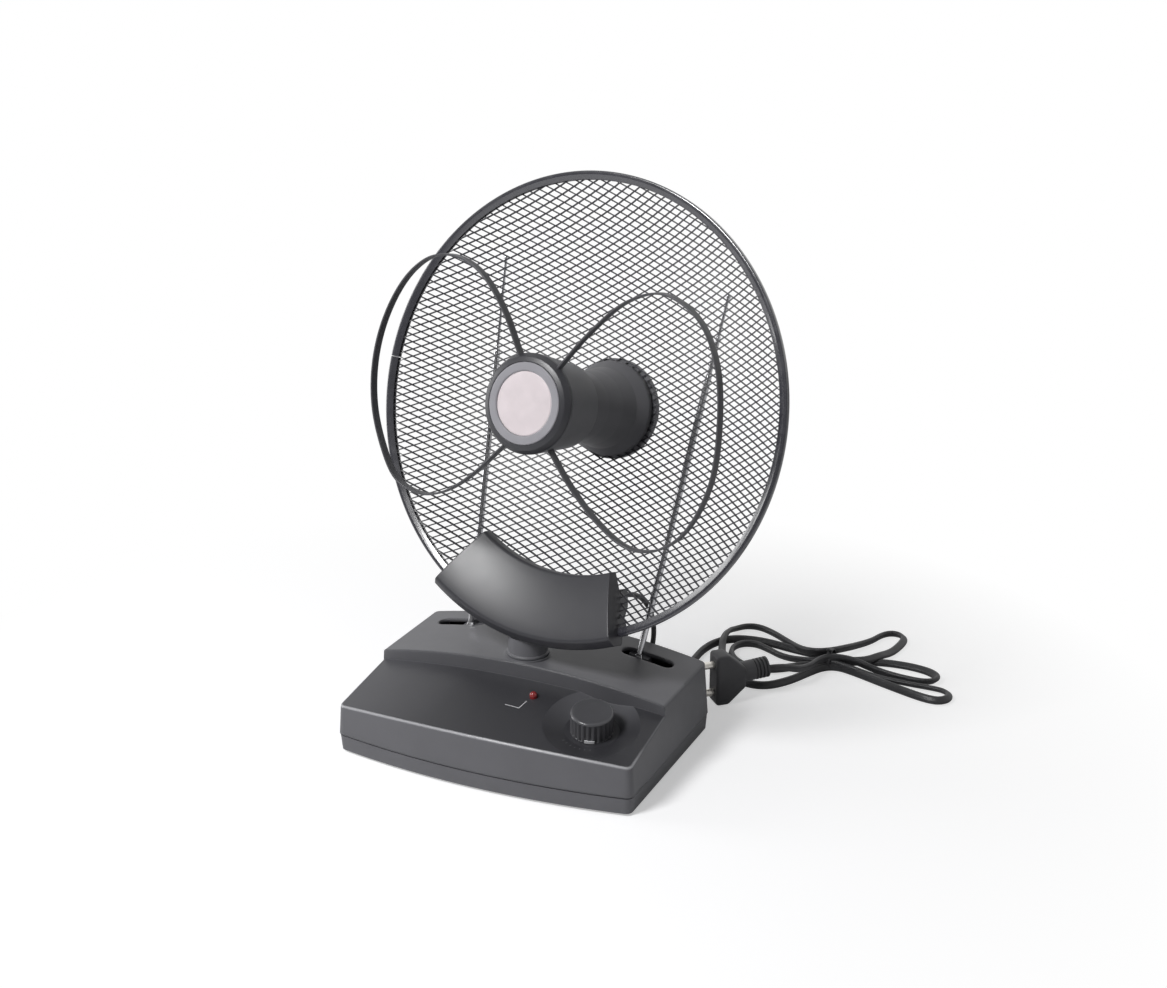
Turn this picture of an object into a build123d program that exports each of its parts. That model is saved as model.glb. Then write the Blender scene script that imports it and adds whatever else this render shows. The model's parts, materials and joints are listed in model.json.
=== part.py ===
from build123d import *
import os
from math import acos, cos, degrees, hypot, pi, radians, sin, sqrt, tan

# Indoor antenna: mesh dish with a feed head, two telescopic rods, amplifier base, mains cord.
# Millimetres. X to the right, Y to the back, Z up; Z = 0 is the table, the origin is under the base.

# Base housing
base_width = 192.6
base_depth = 121.4
front_bow = 9.1
corner_radius = 5.5
foot_height = 1.5
cover_height = 10.5
seam_gap = 0.7
seam_step = 0.4
tongue_gap = 0.5
wall = 2.4
draft_inset = 2.4
lip_height = 28.4
lip_crown = 4.0
riser_height = 6.1
riser_gain = 2.5
deck_height = 43.1
deck_crown = 11.0
ridge_setback = 53.5
ridge_bow = 3.4
edge_radius = 1.5

# Running clearances
turn_clearance = 0.3
bore_clearance = 0.05
seat_clearance = 0.05

# Housing fixings
screw_inset_x = 13.0
screw_inset_y = 11.9
screw_radius = 1.45
screw_head_radius = 2.8
screw_head_height = 1.4
boss_radius = 4.2
foot_inset_x = 29.0
foot_inset_y = 14.9
foot_radius = 6.5
centre_foot_radius = 12.0

# Gain control
knob_inset = 36.9
knob_setback = 27.5
knob_radius = 12.6
knob_height = 13.5
knob_flutes = 24
flute_radius = 0.9
recess_radius = 30.0
recess_floor_radius = 16.0
recess_depth = 5.0
shaft_radius = 3.0
bush_radius = 4.2
pot_radius = 8.5
pot_height = 8.0

# Indicator lamp
lamp_x = 17.7
lamp_setback = 36.3
lamp_radius = 2.5
lamp_rise = 1.2

# Rods
rod_spread = 0.296
rod_behind_neck = 34.0
rod_lean = 22.0
rod_out = {"right": 5.45, "left": 3.8}
pivot_drop = 9.0
tongue_thickness = 2.4
tongue_width = 5.0
tongue_length = 15.5
pin_radius = 1.5
outer_radius = 2.0
middle_radius = 1.5
tip_radius = 1.0
tube_clearance = 0.06
outer_top = 184.0
middle_out = {"right": 24.0, "left": 2.0}
tip_out = {"right": 23.0, "left": 55.0}
tip_cap_radius = 1.5
tip_cap_length = 2.5
middle_length = 160.0
tip_length = 158.0
slot_outwards = 6.5
slot_length = 33.5
slot_width = 10.0
hinge_block_width = 13.0
hinge_block_depth = 20.0
hinge_below_pivot = 8.0
hinge_pin_length = 14.0
tongue_eye_radius = 3.4
tongue_spigot = 8.0

# Swivel
neck_y = 4.5
neck_radius = 12.0
neck_pad_radius = 14.0
neck_pad_rise = 0.6
spigot_radius = 8.0
swivel_depth = 12.0
clip_radius = 11.0
clip_thickness = 2.0
swivel_screw_radius = 2.0
pivot_rise = 2.9
head_yaw = -8.87
head_tilt = 16.42
head_lean = 4.2
rim_foot_back = -4.78
rim_foot_up = 14.12

# Dish
rim_radius = 137.2
rim_width = 5.2
rim_depth = 4.6
rim_middle = -1.8
mesh_thickness = 1.0
mesh_edge_gap = 0.4
bowl_depth = 44.5
mesh_long = 44.0
mesh_short = 19.0
mesh_strand = 2.4
mesh_overhang = 0.4

# Bracket
bracket_half_angle = 27.3
bracket_reach = 37.9
bracket_lip = 5.0
bracket_rear_angle = 25.2
bracket_rear_reach = 27.7
bracket_face_in = -4.6
bracket_face_out = 12.2
bracket_back = 11.0
bracket_screw_angle = 15.0
bracket_screw_in = 17.7
bracket_margin = 6.0
bracket_margin_angle = 2.0

# Feed boom and head, as radius and distance in front of the rim plane
cap_front = 53.5
cap_rear = 47.0
cap_radius = 28.7
ring_radius = 23.6
disc_radius = 18.3
disc_inset = 0.6
disc_thickness = 1.2
body_rear = 11.0
body_rear_radius = 25.2
body_bore = 22.5
boom_radius = 20.5
boom_bore = 15.0
boom_foot_radius = 28.6
boom_foot_height = 4.0
boom_flare = [(25.0, 0.135), (22.2, 0.39), (20.9, 0.665)]
boom_screw_radius = 3.0
cup_radius = 30.5
cup_depth = 10.0
balun_at = 30.0
board_thickness = 1.6

# Loops
loop_points = [(16.0, 27.0), (43.0, 57.5), (73.0, 70.5), (101.0, 57.0), (114.5, 29.0), (118.0, 0.0)]
loop_pitch = 7.0
loop_at = 45.0
loop_turn = {"right": 4.5, "left": 0.5}
loop_width = 5.5
loop_thickness = 1.2
loop_root = 19.0

# Cords
cord_diameter = 4.4
feed_diameter = 3.2
mains_inset = 38.3
mains_z = 19.0
relief_length = 22.0
relief_radius = 5.0
socket_x = -20.0
socket_z = 26.0
socket_radius = 4.75
socket_length = 9.0
socket_wall = 1.1
socket_step = 0.6
hank_height = 6.8
hank_behind = 85.3
hank_corner = 3.0
tie_at = (78.0, 113.3)
plug_turn = 44.0
plug_at = (28.3, 28.6)
plug_width = 35.3
plug_thickness = 13.7
plug_body_length = 22.0
plug_shoulder = (11.0, 11.2)
collar_length = 16.0
collar_radius = 6.2
plug_pin_radius = 2.0
plug_pin_length = 19.0
plug_pin_spacing = 18.6

half_width = base_width / 2
seam_z = foot_height + cover_height
lip_z = foot_height + lip_height
deck_z = foot_height + deck_height
riser_foot_z = deck_z - riser_height
front_y = -base_depth / 2
back_y = base_depth / 2
ridge_y = front_y + ridge_setback
screw_x = half_width - screw_inset_x
screw_y = back_y - screw_inset_y
foot_x = half_width - foot_inset_x
foot_y = back_y - foot_inset_y
knob_x = half_width - knob_inset
knob_y = front_y + knob_setback
lamp_y = front_y + lamp_setback
rod_x = rod_spread * base_width
rod_y = neck_y + rod_behind_neck
slot_centre_x = rod_x + slot_outwards
mains_x = half_width - mains_inset
top_z = deck_z + deck_crown + 6


def arc_rise(x, crown):
    """Height of a circular crown above its ends, at x."""
    radius = (half_width**2 + crown**2) / (2 * crown)
    return sqrt(radius**2 - x**2) - (radius - crown)


def plan(inset):
    """Outline of the base seen from above, with its bowed front."""
    half = half_width - inset
    front = front_y + inset
    back = back_y - inset
    with BuildSketch() as sketch:
        with BuildLine():
            Polyline((half, front), (half, back), (-half, back), (-half, front))
            ThreePointArc((-half, front), (0, front - front_bow), (half, front))
        make_face()
        fillet(sketch.vertices(), max(corner_radius - inset, 1.0))
    return sketch.sketch


def crowned_section(y, end_z, crown):
    """Upright face across the base at y, under a crowned top."""
    with BuildSketch(Plane(origin=(0, y, 0), x_dir=(1, 0, 0), z_dir=(0, -1, 0))) as sketch:
        with BuildLine():
            Polyline((half_width, end_z), (half_width, 0), (-half_width, 0), (-half_width, end_z))
            ThreePointArc((-half_width, end_z), (0, end_z + crown), (half_width, end_z))
        make_face()
    return sketch.sketch


# The panel is ruled between a crown at the lip and a crown at the foot of the riser
panel_front_y = front_y - front_bow
panel_front_end = lip_z - (riser_foot_z - lip_z) * front_bow / (ridge_y - front_y)
panel_front_crown = lip_z + lip_crown - panel_front_end
panel_rear_crown = deck_crown - riser_gain


def panel_level(x, y):
    """Height of the panel's surface."""
    share = (y - panel_front_y) / (ridge_y - panel_front_y)
    front = panel_front_end + arc_rise(x, panel_front_crown)
    rear = riser_foot_z + arc_rise(x, panel_rear_crown)
    return front + share * (rear - front)


def deck_level(x):
    """Height of the deck's surface."""
    return deck_z + arc_rise(x, deck_crown)


def behind_ridge(inset):
    """Everything behind the bowed face of the riser."""
    y = ridge_y + inset
    side = half_width + 5
    behind = back_y + base_depth
    with BuildSketch() as sketch:
        with BuildLine():
            Polyline((side, y), (side, behind), (-side, behind), (-side, y))
            ThreePointArc((-side, y), (0, y - ridge_bow), (side, y))
        make_face()
    return extrude(sketch.sketch, 2 * top_z)


def housing(inset, floor_z, recess):
    """Solid form of the upper housing, set in by a wall thickness, with the knob's recess in its panel."""
    draft = draft_inset * (top_z - seam_z) / (deck_z - seam_z)
    sides = loft([Pos(0, 0, floor_z) * plan(inset), Pos(0, 0, top_z) * plan(inset + draft)], ruled=True)
    deck = extrude(crowned_section(front_y, deck_z - inset, deck_crown), amount=2 * base_depth, dir=(0, 1, 0))
    deck = deck & behind_ridge(inset)
    overrun = 8.0
    front = panel_front_y - overrun
    rear = ridge_y + overrun
    step = (riser_foot_z - panel_front_end) / (ridge_y - panel_front_y)
    crown_step = (panel_rear_crown - panel_front_crown) / (ridge_y - panel_front_y)
    panel = loft(
        [
            crowned_section(front, panel_front_end - step * overrun - inset, panel_front_crown - crown_step * overrun),
            crowned_section(rear, riser_foot_z + step * overrun - inset, panel_rear_crown + crown_step * overrun),
        ],
        ruled=True,
    )
    return sides & (deck + (panel - recess))


# Planes of the knob and the lamp stand square to the panel
def panel_plane(x, y):
    """Plane on the panel's surface, square to it."""
    slope_x = (panel_level(x + 1, y) - panel_level(x - 1, y)) / 2
    slope_y = (panel_level(x, y + 1) - panel_level(x, y - 1)) / 2
    return Plane(origin=(x, y, panel_level(x, y)), x_dir=(1, 0, slope_x), z_dir=(-slope_x, -slope_y, 1))


knob_plane = panel_plane(knob_x, knob_y)
lamp_plane = panel_plane(lamp_x, lamp_y)


def on_axis(radius, low, high):
    """Cylinder along local Z between two levels."""
    return Pos(0, 0, (low + high) / 2) * Cylinder(radius, high - low)


def upright(x, y, radius, low, high):
    """Vertical cylinder at a plan position."""
    return Pos(x, y, (low + high) / 2) * Cylinder(radius, high - low)


# Swing planes of the rods: they lean back, and the rods tilt outwards in them
slot_level = deck_level(rod_x) - wall / 2
pivot_y = rod_y - pivot_drop * sin(radians(rod_lean))
pivot_z = slot_level - pivot_drop * cos(radians(rod_lean))
sides = {"right": 1, "left": -1}


def rod_plane(side):
    """Local Z runs up the rod from its pivot, local Y along the hinge axis."""
    out = radians(rod_out[side]) * sides[side]
    lean = radians(rod_lean)
    along = (sin(out), cos(out) * sin(lean), cos(out) * cos(lean))
    across = (cos(out), -sin(out) * sin(lean), -sin(out) * cos(lean))
    return Plane(origin=(rod_x * sides[side], pivot_y, pivot_z), x_dir=across, z_dir=along)


def swing_plane(side):
    """The rod's plane with the rod upright in it."""
    lean = radians(rod_lean)
    return Plane(origin=(rod_x * sides[side], pivot_y, pivot_z), x_dir=(1, 0, 0), z_dir=(0, sin(lean), cos(lean)))


# Upper housing: the recess cone is cut from the panel outside, and inside its cup keeps a wall under it
recess_cut = Pos(0, 0, -recess_depth / 2) * Cone(recess_floor_radius, recess_radius, recess_depth)
recess_cut = knob_plane.location * (recess_cut + on_axis(recess_radius, 0, 25))
cup_depth_below = recess_depth + wall
recess_cup = Pos(0, 0, -cup_depth_below / 2) * Cone(recess_floor_radius + wall, recess_radius + wall, cup_depth_below)
recess_cup = knob_plane.location * recess_cup
outer = housing(0, seam_z, recess_cut)
inner = housing(wall, seam_z - 1, recess_cut) - recess_cup
edge_band = 5.0


def on_outline(edge):
    """True for the long top edges that run round the housing."""
    middle = edge.center()
    beside = abs(middle.X) > half_width - edge_band
    behind = middle.Y > back_y - edge_band
    ahead = middle.Y < front_y - front_bow / 2
    return (beside or behind or ahead) and middle.Z > seam_z + edge_band and edge.length > 0.3 * base_depth


crests = [edge for edge in outer.edges() if on_outline(edge)]
outer = fillet(crests, edge_radius)
cup_underside = -cup_depth_below
neck_boss_top = deck_level(0) + neck_pad_rise
neck_boss_foot = neck_boss_top - swivel_depth
boss_foot = foot_height + wall

shell = outer - inner
bosses = [upright(x, y, boss_radius, boss_foot, top_z) & outer for x in (-screw_x, screw_x) for y in (-screw_y, screw_y)]
for boss in bosses:
    shell += boss
for x in (-screw_x, screw_x):
    for y in (-screw_y, screw_y):
        shell += upright(x, y, boss_radius, boss_foot, seam_z + 4)
shell += upright(0, neck_y, neck_pad_radius, neck_boss_foot, neck_boss_top)
shell -= knob_plane.location * on_axis(bush_radius, cup_underside - 3, 2)
shell -= lamp_plane.location * on_axis(lamp_radius + seat_clearance, -6, 4)
shell -= upright(0, neck_y, spigot_radius + bore_clearance, neck_boss_foot - 1, neck_boss_top + 1)
for sign in (-1, 1):
    with BuildSketch() as slot:
        SlotOverall(slot_length, slot_width)
    shell -= Pos(sign * slot_centre_x, rod_y, deck_z - wall - 6) * extrude(slot.sketch, 40)
    for y in (-screw_y, screw_y):
        shell -= upright(sign * screw_x, y, screw_radius, boss_foot - 1, boss_foot + 11)
back_hole = Rot(90, 0, 0)
shell -= Pos(mains_x, back_y, mains_z) * back_hole * Cylinder(relief_radius - 1.5, 30)
shell -= Pos(socket_x, back_y, socket_z) * back_hole * Cylinder(socket_radius - socket_step + seat_clearance, 30)

# Lower cover: a tray whose tongue stands up inside the upper housing
tray_top = seam_z - seam_gap
cover = loft(
    [Pos(0, 0, foot_height) * plan(seam_step + 0.8), Pos(0, 0, tray_top) * plan(seam_step)], ruled=True
)
cover -= Pos(0, 0, boss_foot) * extrude(plan(wall + tongue_gap + 1.2), 30)
tongue = extrude(plan(wall + tongue_gap), seam_z + 2.5 - boss_foot) - extrude(plan(wall + tongue_gap + 1.2), 40)
cover += Pos(0, 0, boss_foot) * tongue
board_inset = 59.3
board_x = half_width - board_inset
board_y = 12.0
board_posts = [(-29.0, -26.0), (29.0, -26.0), (-29.0, 26.0), (29.0, 8.0)]
board_z = foot_height + wall + 10.0
for x, y in board_posts:
    cover += upright(board_x + x, board_y + y, 3.0, boss_foot - 0.5, board_z)
for x in (-screw_x, screw_x):
    for y in (-screw_y, screw_y):
        cover -= upright(x, y, screw_radius + 0.3, 0, boss_foot + 1)
        cover -= upright(x, y, screw_head_radius + 0.3, 0, foot_height + screw_head_height)
        cover -= upright(x, y, boss_radius + 0.2, boss_foot, seam_z + 5)
cover -= Pos(mains_x, back_y, mains_z) * back_hole * Cylinder(relief_radius + 1.0, 12)

feet = upright(0, 0, centre_foot_radius, 0, foot_height)
screws = None
for x in (-1, 1):
    for y in (-1, 1):
        feet += upright(x * foot_x, y * foot_y, foot_radius, 0, foot_height)
        head = upright(x * screw_x, y * screw_y, screw_head_radius, foot_height + 0.1, foot_height + screw_head_height)
        screw = head + upright(x * screw_x, y * screw_y, screw_radius, foot_height + 1, boss_foot + 10)
        screws = screw if screws is None else screws + screw

# Lamp, potentiometer and knob
lamp = on_axis(lamp_radius, -wall - 1.5, lamp_rise) + Pos(0, 0, lamp_rise) * Sphere(lamp_radius)
lamp += on_axis(lamp_radius + 0.6, -wall - 3.0, -wall - 0.2)
lamp = lamp_plane.location * lamp
floor_level = -recess_depth
knob_low = floor_level + 0.4
pot = on_axis(pot_radius, cup_underside - pot_height, cup_underside)
pot += on_axis(bush_radius, cup_underside - 1, floor_level)
pot -= on_axis(shaft_radius + bore_clearance, cup_underside - pot_height + 1.5, 0)
pot = knob_plane.location * pot
shaft_top = knob_low + knob_height - 4.0
shaft = knob_plane.location * on_axis(shaft_radius, cup_underside - pot_height + 1.8, shaft_top)
knob = on_axis(knob_radius, knob_low, knob_low + knob_height)
knob = chamfer(knob.edges().group_by(Axis.Z)[-1], 1.1)
for i in range(knob_flutes):
    cut = on_axis(flute_radius, knob_low + 1.2, knob_low + knob_height - 2.2)
    knob -= Rot(0, 0, (i + 0.5) * 360 / knob_flutes) * Pos(knob_radius + 0.35 * flute_radius, 0, 0) * cut
knob += Pos(0, -knob_radius, knob_low + 1.4) * Box(1.6, 1.4, 2.8)
knob -= on_axis(shaft_radius, knob_low - 1, shaft_top)
knob -= on_axis(bush_radius + 0.8, knob_low - 1, knob_low + 0.6)
knob = knob_plane.location * knob

# Inside of the base
board_size = (72.0, 60.0)
board = Pos(board_x, board_y, board_z + board_thickness / 2) * Box(*board_size, board_thickness)
board_top = board_z + board_thickness
can = Pos(board_x - 7.0, board_y + 4.0, board_top + 6) * Box(30, 24, 12)
capacitor = upright(board_x - 27.0, board_y + 20.0, 5.0, board_top, board_top + 13)
transformer_x = 45.0 - half_width
transformer_y = 2.0
core_size = (34.0, 14.0, 28.0)
core = Pos(transformer_x, transformer_y, boss_foot + core_size[2] / 2) * Box(*core_size)
core -= Pos(transformer_x, transformer_y, boss_foot + core_size[2] / 2) * Box(24, 30, 18)
core += Pos(transformer_x, transformer_y, boss_foot + core_size[2] / 2) * Box(8, core_size[1], 26)
winding = Pos(transformer_x, transformer_y, boss_foot + core_size[2] / 2) * Box(23.6, 26, 17.6)
winding -= Pos(transformer_x, transformer_y, boss_foot + core_size[2] / 2) * Box(8, core_size[1], 40)

# TV output socket in the back wall
socket_at = Pos(socket_x, back_y, socket_z) * Rot(-90, 0, 0)
socket_inside = -12.0
socket_bore = socket_radius - socket_wall
socket_shell = on_axis(socket_radius, 0, socket_length)
socket_shell += on_axis(socket_radius - socket_step, socket_inside, 0)
socket_shell += on_axis(socket_radius + 2.2, -8, -5.2)
socket_shell -= on_axis(socket_bore, socket_inside - 1, socket_length + 1)
contact_radius = 1.2
socket_core = on_axis(socket_bore, socket_inside, socket_length - 0.3)
socket_core -= on_axis(contact_radius, socket_inside - 1, socket_length)
socket_pin = on_axis(contact_radius, socket_inside - 2, socket_length - 0.3)
socket_shell = socket_at * socket_shell
socket_core = socket_at * socket_core
socket_pin = socket_at * socket_pin


# Rods with their hinge blocks and pins
def hinge_parts(side):
    """Block under the slot, grooved for the tongue, and its pin."""
    x = rod_x * sides[side]
    low = pivot_z - hinge_below_pivot
    tall = top_z - low
    block = Pos(x, pivot_y + 1.5, low + tall / 2) * Box(hinge_block_width, hinge_block_depth, tall)
    block = block & inner
    groove_depth = tongue_eye_radius + 2 * turn_clearance
    groove = Box(slot_length + hinge_block_width, tongue_thickness + 2 * turn_clearance, tall + groove_depth)
    block -= swing_plane(side).location * Pos(0, 0, (tall - groove_depth) / 2) * groove
    pin = swing_plane(side).location * (Rot(90, 0, 0) * Cylinder(pin_radius, hinge_pin_length))
    return block - pin, pin


def rod_parts(side):
    """Tongue, outer tube, middle tube and tip, drawn out as in the photo."""
    tongue = Pos(0, 0, tongue_length / 2) * Box(tongue_width, tongue_thickness, tongue_length)
    tongue += Rot(90, 0, 0) * Cylinder(tongue_eye_radius, tongue_thickness)
    tongue -= Rot(90, 0, 0) * Cylinder(pin_radius + bore_clearance, 10)
    spigot = middle_radius + tube_clearance
    tongue += on_axis(spigot, tongue_length - 0.5, tongue_length + tongue_spigot)
    outer_tube = on_axis(outer_radius, tongue_length, outer_top)
    outer_tube -= on_axis(spigot, tongue_length - 1, outer_top + 1)
    middle_top = outer_top + middle_out[side]
    bore = tip_radius + tube_clearance
    middle = on_axis(middle_radius, middle_top - middle_length, middle_top)
    middle -= on_axis(bore, middle_top - middle_length - 1, middle_top + 1)
    tip_top = middle_top + tip_out[side]
    tip = on_axis(tip_radius, tip_top - tip_length, tip_top)
    tip += on_axis(tip_cap_radius, tip_top - 0.01, tip_top + tip_cap_length)
    place = rod_plane(side).location
    return [place * piece for piece in (tongue, outer_tube, middle, tip)]


# Dish frame: local Z looks out of the dish, local Y runs up the rim plane, origin in the rim's centre
pivot_point = deck_level(0) + pivot_rise
head_back = rim_foot_back + rim_radius * sin(radians(head_tilt))
head_up = rim_foot_up + rim_radius * cos(radians(head_tilt))
rim_inner = rim_radius - rim_width
bowl_radius = rim_inner - mesh_edge_gap
bracket_inner = rim_radius - bracket_reach
bracket_outer = rim_radius + bracket_lip
bracket_screw_at = bracket_inner + bracket_screw_in
head_frame = (
    Pos(0, neck_y, pivot_point)
    * Rot(0, 0, head_yaw)
    * Rot(0, head_lean, 0)
    * Pos(0, head_back, head_up)
    * Rot(90 - head_tilt, 0, 0)
)
sphere_radius = (bowl_radius**2 + bowl_depth**2) / (2 * bowl_depth)
sphere_centre = rim_middle - bowl_depth + sphere_radius


def bowl_level(radius, offset):
    """Distance in front of the rim plane of the mesh's middle surface, moved by an offset."""
    return sphere_centre - sqrt((sphere_radius - offset) ** 2 - radius**2)


def turned(points, arc_from=None, arc_to=None, offset=0.0, angle=360.0):
    """Turn a radius and level outline about the dish axis; one side may follow the mesh."""
    with BuildSketch(Plane.XZ) as sketch:
        with BuildLine():
            if arc_from is None:
                Polyline(*points, close=True)
            else:
                start = (arc_from, bowl_level(arc_from, offset))
                end = (arc_to, bowl_level(arc_to, offset))
                middle = ((arc_from + arc_to) / 2, bowl_level((arc_from + arc_to) / 2, offset))
                ThreePointArc(start, middle, end)
                Polyline(end, *points, start)
        make_face()
    return revolve(sketch.sketch, Axis.Z, angle)


# Swivel neck, with its spigot through the deck
neck_low = neck_boss_top + turn_clearance
rim_bottom = (head_frame * Pos(0, -rim_radius, rim_middle)).position.Z
neck_top = rim_bottom - 2.0
neck_solid = upright(0, neck_y, neck_radius, neck_low, neck_top)
clip_top = neck_boss_foot - turn_clearance
neck = neck_solid + upright(0, neck_y, spigot_radius, clip_top, neck_low + 0.5)
neck += upright(0, neck_y, neck_radius + 0.8, neck_low, neck_low + 1.4)
neck -= upright(0, neck_y, swivel_screw_radius, clip_top - 1, clip_top + 9)
clip = upright(0, neck_y, clip_radius, clip_top - clip_thickness, clip_top)
clip -= upright(0, neck_y, swivel_screw_radius, clip_top - 5, clip_top + 1)
swivel_screw = upright(0, neck_y, swivel_screw_radius, clip_top - clip_thickness - 1, clip_top + 9)
swivel_screw += upright(0, neck_y, 3.8, clip_top - clip_thickness - 2.2, clip_top - clip_thickness)

# Rim channel, open inwards for the mesh's flat edge
rim_back = rim_middle - rim_depth / 2
rim_front = rim_middle + rim_depth / 2
rim_section = [(rim_inner, rim_back), (rim_radius, rim_back), (rim_radius, rim_front), (rim_inner, rim_front)]
with BuildSketch(Plane.XZ) as rim_sketch:
    with BuildLine():
        Polyline(*rim_section, close=True)
    make_face()
    fillet(rim_sketch.vertices(), 1.3)
rim = revolve(rim_sketch.sketch, Axis.Z)
flange_half = mesh_thickness / 2
flange_outer = rim_radius - 1.4
groove_half = flange_half + seat_clearance
rim -= turned(
    [
        (rim_inner - 1, rim_middle - groove_half),
        (flange_outer + seat_clearance, rim_middle - groove_half),
        (flange_outer + seat_clearance, rim_middle + groove_half),
        (rim_inner - 1, rim_middle + groove_half),
    ]
)

# Mesh bowl: a shell with a flat edge and a field of diamond openings
bowl_edge = rim_inner - 1.2
with BuildSketch(Plane.XZ) as bowl_sketch:
    with BuildLine():
        inner_start = (4.0, bowl_level(4.0, flange_half))
        inner_end = (bowl_edge, bowl_level(bowl_edge, flange_half))
        inner_mid = (bowl_edge / 2, bowl_level(bowl_edge / 2, flange_half))
        outer_start = (4.0, bowl_level(4.0, -flange_half))
        outer_end = (bowl_edge, bowl_level(bowl_edge, -flange_half))
        outer_mid = (bowl_edge / 2, bowl_level(bowl_edge / 2, -flange_half))
        ThreePointArc(inner_start, inner_mid, inner_end)
        Polyline(
            inner_end,
            (rim_inner, rim_middle + flange_half),
            (flange_outer, rim_middle + flange_half),
            (flange_outer, rim_middle - flange_half),
            (rim_inner, rim_middle - flange_half),
            outer_end,
        )
        ThreePointArc(outer_end, outer_mid, outer_start)
        Line(outer_start, inner_start)
    make_face()
bowl = revolve(bowl_sketch.sketch, Axis.Z)
half_long = mesh_long / 2 - mesh_strand * mesh_long / (2 * mesh_short)
half_short = mesh_short / 2 - mesh_strand / 2
diamonds = []
rows = int(2 * bowl_radius / mesh_short) + 2
columns = int(bowl_radius / mesh_long) + 2
bracket_slope = tan(radians(bracket_half_angle + bracket_margin_angle))
field_inner = cup_radius + mesh_strand
field_outer = bowl_edge - mesh_strand
for row in range(-rows, rows + 1):
    for column in range(-columns, columns + 1):
        x = (column + (0.5 if row % 2 else 0)) * mesh_long
        y = row * mesh_short / 2
        place = hypot(x, y)
        under_bracket = y < 0 and place > bracket_inner - bracket_margin and abs(x) < -y * bracket_slope
        overhang = mesh_overhang * max(half_long * abs(x), half_short * abs(y)) / max(place, 1.0)
        if field_inner - overhang < place < field_outer + overhang and not under_bracket:
            diamonds.append((x, y))
with BuildSketch() as diamond_sketch:
    for x, y in diamonds:
        with Locations((x, y)):
            Polygon((half_long, 0), (0, half_short), (-half_long, 0), (0, -half_short), align=None)
openings = diamond_sketch.sketch & (Circle(field_outer) - Circle(field_inner))
bowl -= Pos(0, 0, rim_middle - bowl_depth - 10) * extrude(openings, bowl_depth + 20)
print("diamond openings", len(diamonds))

# Bracket halves clamp the mesh and the rim
start_angle = -90 - bracket_half_angle
rear_start_angle = -90 - bracket_rear_angle
bracket_rear_inner = rim_radius - bracket_rear_reach
split = rim_middle
clear = mesh_thickness / 2 + seat_clearance
rim_clear = rim_radius + seat_clearance
inside_rim = rim_inner - 0.4
front_half = turned(
    [
        (inside_rim, rim_front + seat_clearance),
        (rim_clear, rim_front + seat_clearance),
        (rim_clear, split),
        (bracket_outer, split),
        (bracket_outer, bracket_face_out - 4.0),
        (rim_radius - 0.5, bracket_face_out),
        ((bracket_inner + rim_radius) / 2, (bracket_face_in + bracket_face_out) / 2 + 1.2),
        (bracket_inner, bracket_face_in),
    ],
    bracket_inner,
    bowl_edge - 2,
    clear,
    2 * bracket_half_angle,
)
rear_half = turned(
    [
        (inside_rim, rim_back - seat_clearance),
        (rim_clear, rim_back - seat_clearance),
        (rim_clear, split),
        (bracket_outer, split),
        (bracket_outer, rim_back - 7.0),
        (rim_radius - 6.0, rim_back - bracket_back),
        (bracket_rear_inner, bowl_level(bracket_rear_inner, -clear) - bracket_back),
    ],
    bracket_rear_inner,
    bowl_edge - 2,
    -clear,
    2 * bracket_rear_angle,
)
screw_front = bracket_face_in - 1.0
screw_back = bowl_level(bracket_screw_at, 0) - bracket_back
bracket_screws = None
for sign in (-1, 1):
    angle = radians(-90 + sign * bracket_screw_angle)
    place = Pos(bracket_screw_at * cos(angle), bracket_screw_at * sin(angle), 0)
    shank = place * on_axis(1.6, screw_back - 1, screw_front)
    head = place * on_axis(3.2, screw_back - 6, screw_back)
    pocket = place * on_axis(3.2, screw_back - 12, screw_back)
    front_half -= Rot(0, 0, -start_angle) * shank
    rear_half -= Rot(0, 0, -rear_start_angle) * (shank + pocket)
    bowl -= place * on_axis(1.8, -60, 10)
    fixing = shank + head
    bracket_screws = fixing if bracket_screws is None else bracket_screws + fixing
bracket_front = head_frame * Rot(0, 0, start_angle) * front_half - neck_solid
bracket_rear = head_frame * Rot(0, 0, rear_start_angle) * rear_half - neck_solid

# Feed boom on the mesh, screwed to the cup behind it
bore_end = bowl_level(0, 0) + 10
foot_level = bowl_level(boom_foot_radius, clear) + boom_foot_height
boom = turned(
    [
        (boom_foot_radius, foot_level),
        *[(radius, foot_level + share * (body_rear - foot_level)) for radius, share in boom_flare],
        (boom_radius, body_rear),
        (boom_bore, body_rear),
        (boom_bore, bore_end),
        (boom_screw_radius, bore_end),
    ],
    boom_screw_radius,
    boom_foot_radius,
    clear,
)
cup_back = bowl_level(0, 0) - cup_depth
cup = turned(
    [
        (cup_radius, bowl_level(cup_radius, -clear) - 4.0),
        (cup_radius - 4.0, cup_back),
        (boom_screw_radius, cup_back),
    ],
    boom_screw_radius,
    cup_radius,
    -clear,
)
boom_screw = on_axis(boom_screw_radius, cup_back - 0.5, bore_end - 1) + on_axis(5.5, cup_back - 3.0, cup_back)

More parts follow.
